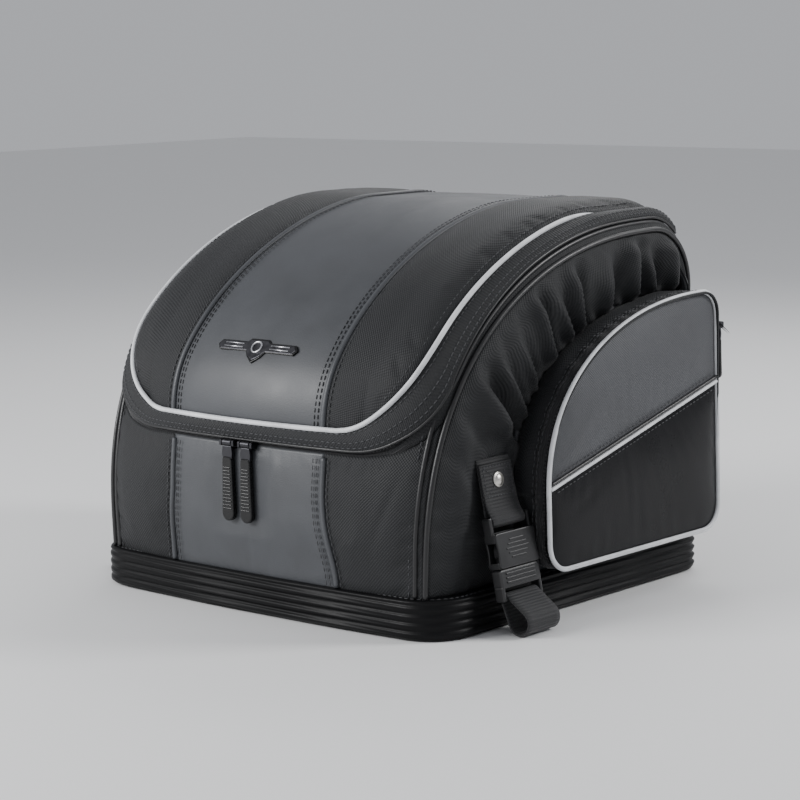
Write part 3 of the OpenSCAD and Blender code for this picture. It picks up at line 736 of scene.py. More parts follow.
def edge_curves(count_rear=30, count_corner=30, count_side=96):
    """The lid's edge and, matched to it, the line where the body's rear face, corners and black
    piping begin, for the right-hand side, from the middle of the rear to the front hinge."""
    rows = lid_rows()
    along = LID_CORNER[1]
    rear = row_points(rows[0], np.linspace(0, rows[0][0], 40))
    ends = np.array([row_points(row, row[0]) for row in rows[1:]])
    slope = np.gradient(ends, axis=0) * (0, 1, 1)
    above = unit(np.cross(slope, (1.0, 0, 0)))
    above *= np.sign((above * (ends - np.array(CENTRE))).sum(axis=1))[:, None]
    ends = ends + above * ((ROLL_LIFT - ROLL[1]) * roll_share(np.arange(1, len(rows))))[:, None]
    corner_end = int(np.argmax(ends[:, 1] > LID_REAR + along - 8))
    a = [resample(rear, count_rear),
         resample(np.concatenate([rear[-1:], ends[:corner_end]]), count_corner)[1:],
         resample(ends[corner_end - 1:], count_side)[1:]]
    x = a[0][:, 0] * 1.12
    b1 = np.stack([x, rear_y(x, ZIP_Z), np.full(count_rear, ZIP_Z)], axis=1)
    share = np.linspace(0, 1, count_corner)
    bx = x[-1] + (pipe_x(JOIN_Z) - x[-1]) * np.sin(share * math.pi / 2)
    bz = ZIP_Z + (JOIN_Z - ZIP_Z) * share ** 2.2
    b2 = np.stack([bx, rear_y(bx, bz), bz], axis=1)
    outline = side_outline(1.5)
    first = int(np.argmax(outline[:, 1] > JOIN_Z))
    corner = (SIDE_CREST_Y, SIDE_TOP - SIDE_FRONT_R)
    turn = corner[0] + (SIDE_FRONT_R + 1.5) * math.cos(math.radians(HINGE_TURN))
    stop = int(np.argmax(outline[:, 0] > turn))
    part = np.concatenate([outline[first:stop],
                           arc(corner, SIDE_FRONT_R + 1.5, HINGE_TURN, HINGE_TURN, 1)])
    b3 = resample(np.column_stack([pipe_x(part[:, 1]), part]), count_side)
    return np.concatenate(a), np.concatenate([b1, b2[1:], b3[1:]])


def whole(half):
    """A right-hand curve with its mirror image, from the left hinge to the right one."""
    return np.concatenate([mirrored(half)[:0:-1], half])


EDGE_A, EDGE_B = edge_curves()
REAR_END, CORNER_END = 29, 58       # places on those curves
WHOLE_A, WHOLE_B = whole(EDGE_A), whole(EDGE_B)
MIDDLE = len(EDGE_A) - 1


def edge_out():
    """Away from the bag at each point between the lid's edge and the body's."""
    middle = (WHOLE_A + WHOLE_B) / 2
    along = unit(np.gradient(middle, axis=0))
    normal = unit(np.cross(along, WHOLE_B - WHOLE_A))
    rear = np.abs(np.arange(len(middle)) - MIDDLE) <= REAR_END
    normal[(normal * (middle - np.array([0, 20, 150]))).sum(axis=1) < 0] *= -1
    normal[rear] = (0, -1, 0)
    soft = normal.copy()
    for _ in range(14):
        soft[1:-1] = (soft[:-2] + soft[1:-1] * 2 + soft[2:]) / 4
        soft = unit(soft)
    return soft


OUT = edge_out()


def rear_share():
    """1 along the rear edge, falling to 0 at the ends of the corners."""
    place = np.abs(np.arange(len(WHOLE_A)) - MIDDLE)
    return (1 - smoothstep((place - REAR_END) / (CORNER_END - REAR_END)))[:, None]


REAR = rear_share()
FRONT = smoothstep((WHOLE_A[:, 1:2] - LID_CREST_Y + 40) / 60)     # 1 past the lid's crest


def band_point(share, lift=0.0):
    """A curve between the lid's edge (share 0) and the black piping (share 1)."""
    share = np.reshape(np.broadcast_to(share, len(WHOLE_A)), (-1, 1))
    lift = np.reshape(np.broadcast_to(np.ravel(lift), len(WHOLE_A)), (-1, 1))
    return WHOLE_A + (WHOLE_B - WHOLE_A) * share + OUT * (2.4 * np.sin(math.pi * share) + lift)


# ---------------------------------------------------------------- lid
def seam_x(row):
    """The centre panel is a little wider at the lid's rear edge."""
    return SEAM_X + 3.0 * row[1] ** 3


def lid_surface(low_x, high_x, count, puff):
    """A lid panel between two lines, given as functions of a row."""
    rows = lid_rows()
    grid = np.array([row_points(row, np.linspace(low_x(row), high_x(row), count))
                     for row in rows])
    normals = outward(grid, grid_normals(grid), CENTRE)
    across = np.linspace(0, 1, count)
    down = np.linspace(0, 1, len(rows))
    pillow = (1 - np.abs(2 * across - 1) ** 3.2)[None, :] * (np.sin(np.pi * down) ** 0.35)[:, None]
    half = np.array([row[0] for row in rows])[:, None]
    edge = np.clip((np.abs(grid[:, :, 0]) - half + ROLL[0]) / ROLL[0], 0, 1)
    shoulder = ROLL_LIFT - ROLL[1] * (1 - np.sqrt(1 - 0.98 * edge ** 2))
    shoulder = shoulder * roll_share(np.arange(len(rows)))[:, None]
    return grid + normals * (puff * pillow + shoulder - 1.0)[:, :, None]


def path_on(grid, column, lift):
    normals = outward(grid, grid_normals(grid), CENTRE)
    return grid[:, column] + normals[:, column] * lift, normals[:, column]


def make_lid():
    """The lid's three panels, their welts and stitches, and the silver piping round them."""
    thread = Parts()
    centre = lid_surface(lambda row: -seam_x(row), seam_x, 60, 2.0)
    centre = soft_folds(centre, (0, -0.5, 0.8), 6, 5, 0.7)
    piece = sheet_piece("lid_centre", centre, LID_THICK, "lid", "smooth_vinyl",
                        ["lid_center_panel"], inner="lining")
    for side, sign in SIDES:
        panel = lid_surface(seam_x, lambda row: row[0], 38, 2.6)
        panel = swell(panel if sign > 0 else mirrored(panel), 0.4, 2.0)
        piece = sheet_piece("lid_side_" + side, panel, LID_THICK, "lid", "ballistic_nylon",
                            ["lid_panel_" + side], inner="lining")
        edge, normals = path_on(centre, -1 if sign > 0 else 0, 0.6)
        edge, normals = edge[1:-1], normals[1:-1]
        tube_piece("lid_welt_" + side, edge, WELT_RADIUS, normals, "lid", "smooth_vinyl", sides=12,
                   squeeze=0.85)
        across = np.array([sign, 0, 0])
        for step, lift in ((-5.2, 1.5), (-8.4, 1.8), (5.0, 1.4)):
            add_stitches(thread, edge + across * step + normals * (lift - 0.6), normals)
    for sign in (-1, 1):
        rows = lid_rows()
        line = np.array([row_points(row, sign * (row[0] - 6)) for row in rows[14:]])
        normals = unit(line - np.array([0, 60, 60]))
        add_stitches(thread, line + normals * 1.0, normals)
    thread.sew("lid_thread", "lid")
    path = WHOLE_A + OUT * (1.6 - 4.0 * FRONT)
    tube_piece("lid_piping_silver", path, SILVER_RADIUS, OUT, "lid", "silver_piping",
               ["lid_piping"], sides=12)


def make_badge():
    """A plain bar badge with a small shield: a gloss black rim round a black nickel inlay, with bright bars and a
    ring on top.
    """
    lo, hi = low("lid_badge"), high("lid_badge")
    middle = (lo + hi) / 2
    rows = lid_rows()
    near = min(rows, key=lambda row: abs(row[2] - middle[2]))
    place = row_points(near, 0.0)
    i = rows.index(near)
    up = unit(row_points(rows[i + 2], 0.0) - row_points(rows[i - 2], 0.0))
    out = unit(np.cross(up, (1, 0, 0)))
    if out[1] > 0:
        out = -out
    axes = np.array([(1.0, 0, 0), up, out])
    bar = [(-41, 0), (-38, 4.2), (-12, 4.2), (-9, 7), (9, 7), (12, 4.2), (38, 4.2), (41, 0),
           (38, -4.2), (10, -4.2), (6.5, -9), (0, -14), (-6.5, -9), (-10, -4.2), (-38, -4.2)]
    bar = np.array(bar, float)

    def plate(name, shrink, height, thickness, material, replaces=()):
        centre = np.array([0, -1.0])
        size = np.array([1 - shrink / 41, 1 - shrink / 9])
        local, uv, faces = outline_slab((bar - centre) * size + centre, thickness, 0.5)
        verts = place + out * height + local @ axes
        piece = make_piece(name, verts, faces, "lid", "badge_metal", replaces, uv, material, False)
        tidy_normals(piece)

    plate("badge_rim", 0, 3.4, 2.4, "pull_plastic", ["lid_badge"])
    plate("badge_inlay", 1.4, 3.9, 2.2, "slider_metal")
    middle_bar = Parts()
    for x0, x1 in ((-33, -14), (14, 33)):
        for y in (-1.5, 1.5):
            line = np.array([place + np.array([x0, y, 5.2]) @ axes,
                             place + np.array([x1, y, 5.2]) @ axes])
            middle_bar.add(*tube_data(line, 0.55, out, 8))
    ring = [place + np.array([4.6 * math.cos(a), 4.6 * math.sin(a) - 0.5, 5.2]) @ axes
            for a in np.linspace(0, 2 * math.pi, 33)[:-1]]
    middle_bar.add(*tube_data(ring, 0.8, out, 8, closed=True))
    middle_bar.piece("badge_trim", "lid", "badge_metal")


def make_flap():
    """The weather flap under the lid's piping, which hangs over the zip."""
    grid = []
    width = np.linalg.norm(WHOLE_B - WHOLE_A, axis=1)[:, None]
    end = FLAP_END * REAR + np.maximum(1 - (CORD_GAP + 3.8) / width, 0.66) * (1 - REAR)
    for k in np.linspace(0, 1, 13):
        lift = 0.8 + (2.4 - 1.4 * REAR) * math.sin(k * math.pi / 2)
        lift = lift + 3.4 * FRONT * math.sin(math.pi * k) ** 0.7
        grid.append(band_point(np.ravel(0.02 + (end - 0.02) * k), lift))
    grid = np.array(grid)
    piece = sheet_piece("weather_flap", grid, 1.8, "lid", "ballistic_nylon", ["lid_flap"],
                        inner="lining")
    lip = grid[-1] - OUT * 0.7
    tube_piece("flap_lip", lip, 1.2, OUT, "lid", "black_piping", sides=8)
    thread = Parts()
    normals = outward(grid, grid_normals(grid), CENTRE)
    for row in (2, 7, 10):
        add_stitches(thread, grid[row] + normals[row] * 0.2, normals[row])
    thread.sew("flap_thread", "lid")


def zip_line(share, z_rear, y_rear, lift=-0.8):
    behind = np.stack([WHOLE_B[:, 0], rear_y(WHOLE_B[:, 0], ZIP_Z) + y_rear,
                       WHOLE_B[:, 2] + z_rear], axis=1)
    return band_point(share, lift) * (1 - REAR) + behind * REAR


def make_zip():
    """Main zip: half its teeth and tape on the lid, half on the body."""
    lid_tape = np.array([zip_line(0.3, 14, 3.5), zip_line(0.42, 9, 1.6),
                         zip_line(ZIP_AT - 0.03, 4.6, 0.8)])
    sheet_piece("zip_tape_lid", lid_tape, 0.9, "lid", "zipper_tape", ["lid_zip_tape"])
    body_tape = np.array([zip_line(ZIP_AT + 0.03, 2.6, 0.8), zip_line(0.64, -3, 1.0),
                          zip_line(0.76, -9, 1.4)])
    sheet_piece("zip_tape_body", body_tape, 0.9, "bag", "zipper_tape", ["rear_zip_tape"])
    across = unit(body_tape[0] - lid_tape[-1])
    teeth = Parts()
    add_teeth(teeth, lid_tape[-1] + OUT * 0.6, across, OUT)
    teeth.piece("zip_teeth_lid", "lid", "zipper_coil", ["zip_coil_lid"])
    teeth = Parts()
    add_teeth(teeth, body_tape[0] + OUT * 0.6, -across, OUT)
    teeth.piece("zip_teeth_body", "bag", "zipper_coil", ["zip_coil_body"])


def make_lining():
    """The mesh pocket inside the lid, held flat by its binding."""
    lo, hi = low("mesh_pocket"), high("mesh_pocket")
    rows = [row for row in lid_rows() if lo[1] - 2 < float(row_points(row, 0.0)[1]) < hi[1] + 2]
    grid = np.array([row_points(row, np.linspace(lo[0], hi[0], 60)) for row in rows])
    normals = outward(grid, grid_normals(grid), CENTRE)
    u = np.linspace(0, 1, grid.shape[1])[None, :]
    v = np.linspace(0, 1, grid.shape[0])[:, None]
    sag = 4 * (1 - np.abs(2 * u - 1) ** 4) * (1 - np.abs(2 * v - 1) ** 4)
    sag = sag + 0.5 * np.sin(u * 60) * (1 - v) ** 3
    mesh_grid = grid - normals * (8.6 + sag)[:, :, None]
    piece = sheet_piece("lid_mesh", mesh_grid, 0.9, "lid", "lining_mesh", ["mesh_pocket"])
    border = np.concatenate([mesh_grid[0], mesh_grid[1:, -1], mesh_grid[-1, -2::-1],
                             mesh_grid[-2:0:-1, 0]])
    border = resample(border, 220, closed=True)
    tube_piece("lid_mesh_binding", border, 3.0, (0, 0, 1), "lid", "black_piping",
               ["mesh_binding"], sides=10, closed=True, squeeze=0.55)


# ---------------------------------------------------------------- body
def seam_rear(z):
    """The rear centre panel flares towards the base."""
    return SEAM_X + 3 + 7.0 * (1 - smoothstep((z - BAND_TOP) / 70))


def top_line(x):
    """Height of the rear face's top edge, which rises into the corners."""
    part = EDGE_B[:CORNER_END + 1]
    return np.interp(np.abs(x), part[:, 0], part[:, 2]) - 0.8


def rear_grid(left_edge, right_edge, count, puff, rows=44):
    grid = []
    for share in np.linspace(0, 1, rows):
        z_mid = BAND_TOP - 1 + share * (ZIP_Z - BAND_TOP)
        x = np.linspace(left_edge(z_mid), right_edge(z_mid), count)
        z = BAND_TOP - 1 + share * (top_line(x) - BAND_TOP + 1)
        grid.append(np.stack([x, rear_y(x, z), z], axis=1))
    grid = np.array(grid)
    across = np.linspace(0, 1, count)
    up = np.linspace(0, 1, rows)
    pillow = (1 - np.abs(2 * across - 1) ** 3)[None, :] * (1 - np.abs(2 * up - 1) ** 3)[:, None]
    grid[:, :, 1] -= puff * pillow
    return grid


def soft_folds(grid, direction, folds, seed, depth=1.3):
    """Shallow random folds: each a long soft ridge with its own place, slant and depth."""
    rng = random.Random(seed)
    u = np.linspace(0, 1, grid.shape[1])[None, :]
    v = np.linspace(0, 1, grid.shape[0])[:, None]
    height = np.zeros(grid.shape[:2])
    for _ in range(folds):
        u0, v0 = rng.uniform(0.05, 0.95), rng.uniform(0.1, 0.9)
        slant = rng.uniform(-0.7, 0.7)
        width, reach = rng.uniform(0.04, 0.09), rng.uniform(0.12, 0.35)
        line = (u - u0) * math.cos(slant) + (v - v0) * math.sin(slant)
        run = -(u - u0) * math.sin(slant) + (v - v0) * math.cos(slant)
        height += rng.uniform(-depth, depth) * np.exp(-(line / width) ** 2 - (run / reach) ** 2)
    edge = np.minimum(np.minimum(u, 1 - u) / 0.1, 1) * np.minimum(np.minimum(v, 1 - v) / 0.12, 1)
    return grid + np.asarray(direction, float) * (height * edge)[:, :, None]


def swell(grid, grow, cap, pressure=1.5, centre=CENTRE):
    """Cloth simulation of one panel: its edges stay, pressure fills it and slack cloth (grow, in
    per cent) folds. No point moves further than cap. Returns the settled grid."""
    rows, cols = grid.shape[:2]
    normals = outward(grid, grid_normals(grid), centre)
    faces = [(i, i + 1, i + cols + 1, i + cols)
             for r in range(rows - 1) for i in range(r * cols, (r + 1) * cols - 1)]
    made = np.cross(grid[0, 1] - grid[0, 0], grid[1, 0] - grid[0, 0])
    if float(made @ normals[0, 0]) < 0:
        faces = [f[::-1] for f in faces]
    mesh = bpy.data.meshes.new("sim")
    mesh.from_pydata((grid.reshape(-1, 3) * MM * SIM_SCALE).tolist(), [], faces)
    thing = bpy.data.objects.new("sim", mesh)
    bpy.context.scene.collection.objects.link(thing)
    held = thing.vertex_groups.new(name="held")
    for r in range(rows):
        for c in range(cols):
            if r in (0, rows - 1) or c in (0, cols - 1):
                held.add([r * cols + c], 1.0, "REPLACE")
    cloth = thing.modifiers.new("cloth", "CLOTH")
    cloth.settings.vertex_group_mass = "held"
    cloth.settings.quality = 4
    cloth.settings.mass = 0.3
    cloth.settings.tension_stiffness = 30
    cloth.settings.compression_stiffness = 30
    cloth.settings.shear_stiffness = 12
    cloth.settings.bending_stiffness = 1.2
    cloth.settings.shrink_min = -grow / 100
    cloth.settings.use_pressure = True
    cloth.settings.uniform_pressure_force = pressure
    cloth.settings.effector_weights.gravity = 0
    cloth.collision_settings.use_collision = False
    cloth.collision_settings.use_self_collision = False
    scene = bpy.context.scene
    for frame_number in range(1, SIM_FRAMES + 1):
        scene.frame_set(frame_number)
    settled = thing.evaluated_get(bpy.context.evaluated_depsgraph_get())
    co = np.zeros(rows * cols * 3)
    settled.data.vertices.foreach_get("co", co)
    bpy.data.objects.remove(thing)
    bpy.data.meshes.remove(mesh)
    scene.frame_set(1)
    move = co.reshape(rows, cols, 3) / (MM * SIM_SCALE) - grid
    far = np.linalg.norm(move, axis=2, keepdims=True)
    return grid + move * (cap * np.tanh(far / cap) / np.maximum(far, 1e-6))


def flatten_behind_pulls(grid, middle_x, reach):
    """Press a rear panel in where a main pull hangs against it, within reach of middle_x."""
    near = 1 - smoothstep((np.abs(grid[:, :, 0] - middle_x) - reach) / 20)
    near *= 1 - smoothstep((grid[:, :, 2] - ZIP_Z + 8) / 8)
    near *= smoothstep((grid[:, :, 2] - 48) / 18)
    behind = joint_at("main_pull_swing_right")[1] + PULL_THICK / 2 + 0.5
    grid[:, :, 1] += near * np.maximum(behind - grid[:, :, 1], 0)


def make_rear():
    thread = Parts()
    centre = rear_grid(lambda z: -seam_rear(z), seam_rear, 64, 1.0)
    centre = soft_folds(swell(centre, 0.4, 1.2), (0, -1, 0), 7, 3, 0.8)
    pins = [joint_at("main_pull_swing_" + side) for side, _ in SIDES]
    flatten_behind_pulls(centre, (pins[0][0] + pins[1][0]) / 2, (pins[1][0] - pins[0][0]) / 2 + 8)
    piece = sheet_piece("rear_centre", centre, REAR_THICK, "bag", "smooth_vinyl",
                        ["rear_center_panel"], inner="lining")
    for side, sign in SIDES:
        panel = rear_grid(seam_rear, lambda z: pipe_x(z) - 0.5, 40, 3.0)
        panel = panel if sign > 0 else mirrored(panel)
        panel = swell(panel, 0.7, 3.0)
        panel = soft_folds(panel, (0, -1, 0), 6, 11 if sign > 0 else 23, 0.8)
        flatten_behind_pulls(panel, joint_at("main_pull_swing_" + side)[0] + sign * ZIP_TRAVEL, 10)
        piece = sheet_piece("rear_side_" + side, panel, REAR_THICK, "bag", "ballistic_nylon",
                            ["rear_panel_" + side], inner="lining")
        z = np.linspace(BAND_TOP + 1, ZIP_Z - 4, 40)
        x = sign * seam_rear(z)
        path = np.stack([x, rear_y(x, z) - 0.6, z], axis=1)
        tube_piece("rear_welt_" + side, path, WELT_RADIUS, (0, -1, 0), "bag", "smooth_vinyl",
                   sides=12, squeeze=0.9)
        for step, lift in ((-5.2, 2.0), (-8.4, 2.6), (5.0, 2.2)):
            line = np.stack([x + sign * step, rear_y(x + sign * step, z) - lift, z], axis=1)
            add_stitches(thread, line, (0, -1, 0))
        z = np.linspace(BAND_TOP + 1, JOIN_Z - 8, 50)
        x = sign * (pipe_x(z) - CORD_GAP - 4.5)
        add_stitches(thread, np.stack([x, rear_y(x, z) - 1.4, z], axis=1), (0, -1, 0))
    thread.sew("rear_thread", "bag")


def make_side_piping():
    """Black piping round each side panel, and the second cord beside it along the top."""
    for side, sign in SIDES:
        line = resample(side_outline(1.2), 200)
        path = np.column_stack([sign * (pipe_x(line[:, 1]) + 0.8), line])
        out = np.array([sign, 0, 0])
        tube_piece("side_piping_black_" + side, path, 2.2, out, "bag", "black_piping",
                   ["side_piping_" + side], sides=12)
        z = np.linspace(BAND_TOP + 1, JOIN_Z - 6, 50)
        x = sign * (pipe_x(z) - CORD_GAP)
        rising = np.stack([x, rear_y(x, z) - 0.6, z], axis=1)
        over = WHOLE_B + unit(WHOLE_A - WHOLE_B) * CORD_GAP + OUT * 1.6
        cord = resample(np.concatenate([rising, half_of(over, sign, CORNER_END + 1)]), 240)
        for _ in range(8):
            cord[1:-1] = (cord[:-2] + cord[1:-1] * 2 + cord[2:]) / 4
        tube_piece("second_cord_" + side, cord, 2.0, (sign, -0.6, 0), "bag", "black_piping",
                   sides=12)


def half_of(curve, sign, start=0):
    """One side of a whole curve, from the middle of the rear outwards."""
    half = curve[MIDDLE:] if sign > 0 else curve[MIDDLE::-1]
    return half[start:]


def make_gusset():
    """The nylon band between the zip and the black piping, on each side."""
    for side, sign in SIDES:
        start = REAR_END
        shares = (0.66, 0.72, 0.79, 0.86, 0.93, 1.0)
        grid = np.array([half_of(band_point(s, 0.4), sign, start) for s in shares])
        lift = smoothstep(np.arange(grid.shape[1]) / 24)[None, :, None]
        lower = half_of(WHOLE_B, sign, start)[None]
        grid = lower + (grid - lower) * lift + np.array([0, 0.6, -1.5]) * (1 - lift)
        sheet_piece("zip_band_" + side, grid, 1.6, "bag", "ballistic_nylon",
                    ["zip_gusset_" + side], inner="lining")


def pocket_outline(gap=0.0):
    """The pocket's outline as (y, z), from its rear foot up, over and down the front."""
    lo, hi = low("pocket_gusset_right"), high("pocket_gusset_right")
    corner_r, foot_r = 18.0, 20.0
    top_y = hi[1] - corner_r
    parts = [quarter((lo[1] - gap, 96), (top_y, hi[2] + gap), 2.2, 70),
             arc((top_y, hi[2] - corner_r), corner_r + gap, 84, 0, 9),
             arc((hi[1] - foot_r, lo[2] + foot_r), foot_r + gap, 0, -90, 9),
             arc((lo[1] + foot_r, lo[2] + foot_r), foot_r + gap, -90, -180, 9)]
    return np.concatenate(parts)


POCKET_X = low("pocket_gusset_right")[0], high("pocket_gusset_right")[0]
PULL_THICK = 4.5        # of the main zip's pulls
ZIP_TRAVEL = 105.0      # of each main slider
STRAP_BACK = 167.6      # the side panel lies flatter than this under the mounting strap
POCKET_SEAM = (100.0, 156.0)    # height of the face's slanting seam at its rear and front ends


def make_side_panel(side, sign):
    """Nylon side panel, gathered where it is sewn round the pocket."""
    rng = random.Random(40 + sign)
    cols, rows = 230, 30
    outer = resample(side_outline(-0.8), cols)
    pocket = pocket_outline(1.0)[:80]
    lo, hi = low("pocket_gusset_right"), high("pocket_gusset_right")
    inner = np.concatenate([[[lo[1] - 1, BAND_TOP]], pocket, [[hi[1] + 1, BAND_TOP]]])
    inner = resample(inner, cols)
    v = np.linspace(0, 1, rows)[:, None]
    yz = outer[None] * (1 - v[:, :, None]) + inner[None] * v[:, :, None]
    depth = np.linalg.norm(outer - inner, axis=1)
    along = run_along(inner)
    rim = pipe_x(outer[:, 1])
    x = rim[None] * (1 - v) + (POCKET_X[0] + 0.5) * v
    puff = np.minimum(depth / 90, 1)[None] * 5.5 * np.sin(np.pi * v ** 0.8)
    folds = np.zeros((rows, cols))
    place = 30.0
    while place < along[-1] - 50:
        width = rng.uniform(5.5, 13)
        slant = -46 + 92 * (place / along[-1]) ** 2 + rng.uniform(-14, 14)
        height = rng.uniform(0.6, 1.0) * (3.5 + 0.85 * width)
        distance = (along[None] + slant * (1 - v)) - place
        spread = width * (0.65 + 0.3 * (1 - v))
        ridge = np.exp(-(distance / spread) ** 2)
        valley = np.exp(-((distance - 1.3 * spread) / spread / 0.75) ** 2)
        fade = smoothstep(v / rng.uniform(0.25, 0.9)) * (1 - smoothstep((v - 0.88) / 0.12) * 0.5)
        folds += height * (ridge - 0.8 * valley) * fade
        place += width * rng.uniform(2.0, 4.6)
    folds *= (np.minimum(depth / 60, 1) * smoothstep((depth - 10) / 14))[None]
    puckers = 1.1 * np.sin(along[None] / 1.9 + 2 * np.sin(along[None] / 23)) * v ** 8
    puckers *= np.minimum(depth / 45, 1)[None] ** 2
    x = x + puff + folds + puckers
    strap_y = joint_at("strap_swing_right")[1]
    under = (1 - smoothstep((np.abs(yz[:, :, 0] - strap_y) - WEB / 2) / 22)) * (
        1 - smoothstep((yz[:, :, 1] - 128) / 25))
    x = x - under * np.maximum(x - STRAP_BACK, 0)
    grid = np.stack([x, yz[:, :, 0], yz[:, :, 1]], axis=2)
    grid = grid if sign > 0 else mirrored(grid)
    grid = swell(grid, 1.0, 2.5)
    piece = sheet_piece("side_panel_" + side + "_nylon", grid, SIDE_THICK, "bag",
                        "ballistic_nylon", ["side_panel_" + side], inner="lining")


def make_pocket(side, sign):
    """Side pocket: puckered gusset, zip, padded face in two halves, and silver piping."""
    flip = np.array([sign, 1, 1])
    x0, x1 = POCKET_X
    rng = random.Random(60)
    outline = resample(pocket_outline(), 300, closed=True)
    centre = outline.mean(axis=0)
    step = unit(np.roll(outline, -1, axis=0) - np.roll(outline, 1, axis=0))
    out = np.stack([-step[:, 1], step[:, 0]], axis=1)
    if ((outline - centre) * out).sum() < 0:
        out = -out
    run = run_along(outline)

    def ring(x, gap):
        yz = outline + out * np.reshape(gap, (-1, 1))
        return np.column_stack([np.full(len(yz), x), yz])

    waves = [(rng.uniform(5, 11), rng.uniform(0, 6), rng.uniform(0.3, 0.9)) for _ in range(7)]
    ruck = sum(a * np.sin(run / w + p) for w, p, a in waves) * 0.8
    upper = smoothstep((outline[:, 1] - 60) / 40)
    rows = []
    for k in np.linspace(0, 1, 12):
        swellings = 2.2 * math.sin(math.pi * k) * upper
        rucks = ruck * math.sin(math.pi * min(k * 1.1, 1)) * (0.35 + 0.65 * upper)
        rows.append(ring(x0 + (x1 - 11 - x0) * k, swellings + rucks))
    piece = sheet_piece("pocket_side_" + side, np.array(rows) * flip, 2.2, "bag",
                        "ballistic_nylon", ["pocket_gusset_" + side], ring=True,
                        centre=(sign * 180, 40, 120), inner="lining")
    zip_ruck = 0.7 * np.sin(run / 2.6 + 2.5 * np.sin(run / 31))
    rows = [ring(x, g + zip_ruck * s) for x, g, s in
            ((x1 - 11.5, 0.2, 0.4), (x1 - 9.5, 1.4, 1), (x1 - 6, 1.6, 1.2), (x1 - 2.5, 1.2, 0.8),
             (x1 - 1.2, 0.8, 0.2))]
    sheet_piece("pocket_tape_" + side, np.array(rows) * flip, 1.0, "bag", "zipper_tape",
                ["pocket_zipper_" + side], ring=True, centre=(sign * 180, 40, 120))
    outwards = np.column_stack([np.zeros(len(out)), out])
    sidewards = np.array([sign, 0, 0.0])
    teeth = Parts()
    add_teeth(teeth, ring(x1 - 1.6, 1.3) * flip, sidewards, outwards * flip, 3.0, 1.8, 1.3)
    teeth.piece("pocket_teeth_" + side, "bag", "zipper_coil")
    thread = Parts()
    for x, gap in ((x1 - 8.6, 1.7), (x1 - 12.5, 1.0)):
        add_stitches(thread, ring(x, gap + zip_ruck) * flip, outwards * flip)
    thread.sew("pocket_thread_" + side, "bag")
    lo, hi = low("pocket_gusset_right"), high("pocket_gusset_right")
    back = np.concatenate([pocket_outline(2.5)[:79], [[hi[1] + 2.5, BAND_TOP - 3],
                                                      [lo[1] - 2.5, BAND_TOP - 3]]])
    flat_panel("pocket_back_" + side, back, sign * (x0 - 2.2), 1.2, "bag", "lining")
    make_door(side, sign, outline, out)


def flat_panel(name, outline, x, thickness, body, material):
    """A flat sheet inside an outline, facing sideways."""
    local, uv, faces = outline_slab(outline, thickness, 0)
    verts = np.column_stack([np.full(len(local), x) + local[:, 2], local[:, 0], local[:, 1]])
    piece = make_piece(name, verts, faces, body, "", (), uv, material, False)
    tidy_normals(piece)
    return piece


def seam_z(y):
    lo, hi = low("pocket_gusset_right"), high("pocket_gusset_right")
    share = (y - lo[1]) / (hi[1] - lo[1])
    return POCKET_SEAM[0] + (POCKET_SEAM[1] - POCKET_SEAM[0]) * share


def door_face_x(z):
    """The face leans in slightly towards its top."""
    return POCKET_X[1] + 6.0 - 0.02 * (np.asarray(z) - 40)


def door_grid(upper, cols=70, rows=44):
    """A grid that fills the part of the pocket's outline above or below the slanting seam."""
    outline = resample(pocket_outline(-0.6), 900, closed=True)
    above = outline[:, 1] > seam_z(outline[:, 0])
    keep = outline[above] if upper else outline[~above]
    start = int(np.argmax(np.linalg.norm(np.roll(keep, 1, axis=0) - keep, axis=1)))
    rim = resample(np.roll(keep, -start, axis=0), cols)
    if rim[0, 0] > rim[-1, 0]:
        rim = rim[::-1]
    seam = np.stack([np.linspace(rim[0, 0], rim[-1, 0], cols)] * 2, axis=1)
    seam[:, 1] = seam_z(seam[:, 0])
    v = np.linspace(0, 1, rows)[:, None, None]
    return seam[None] * (1 - v) + rim[None] * v


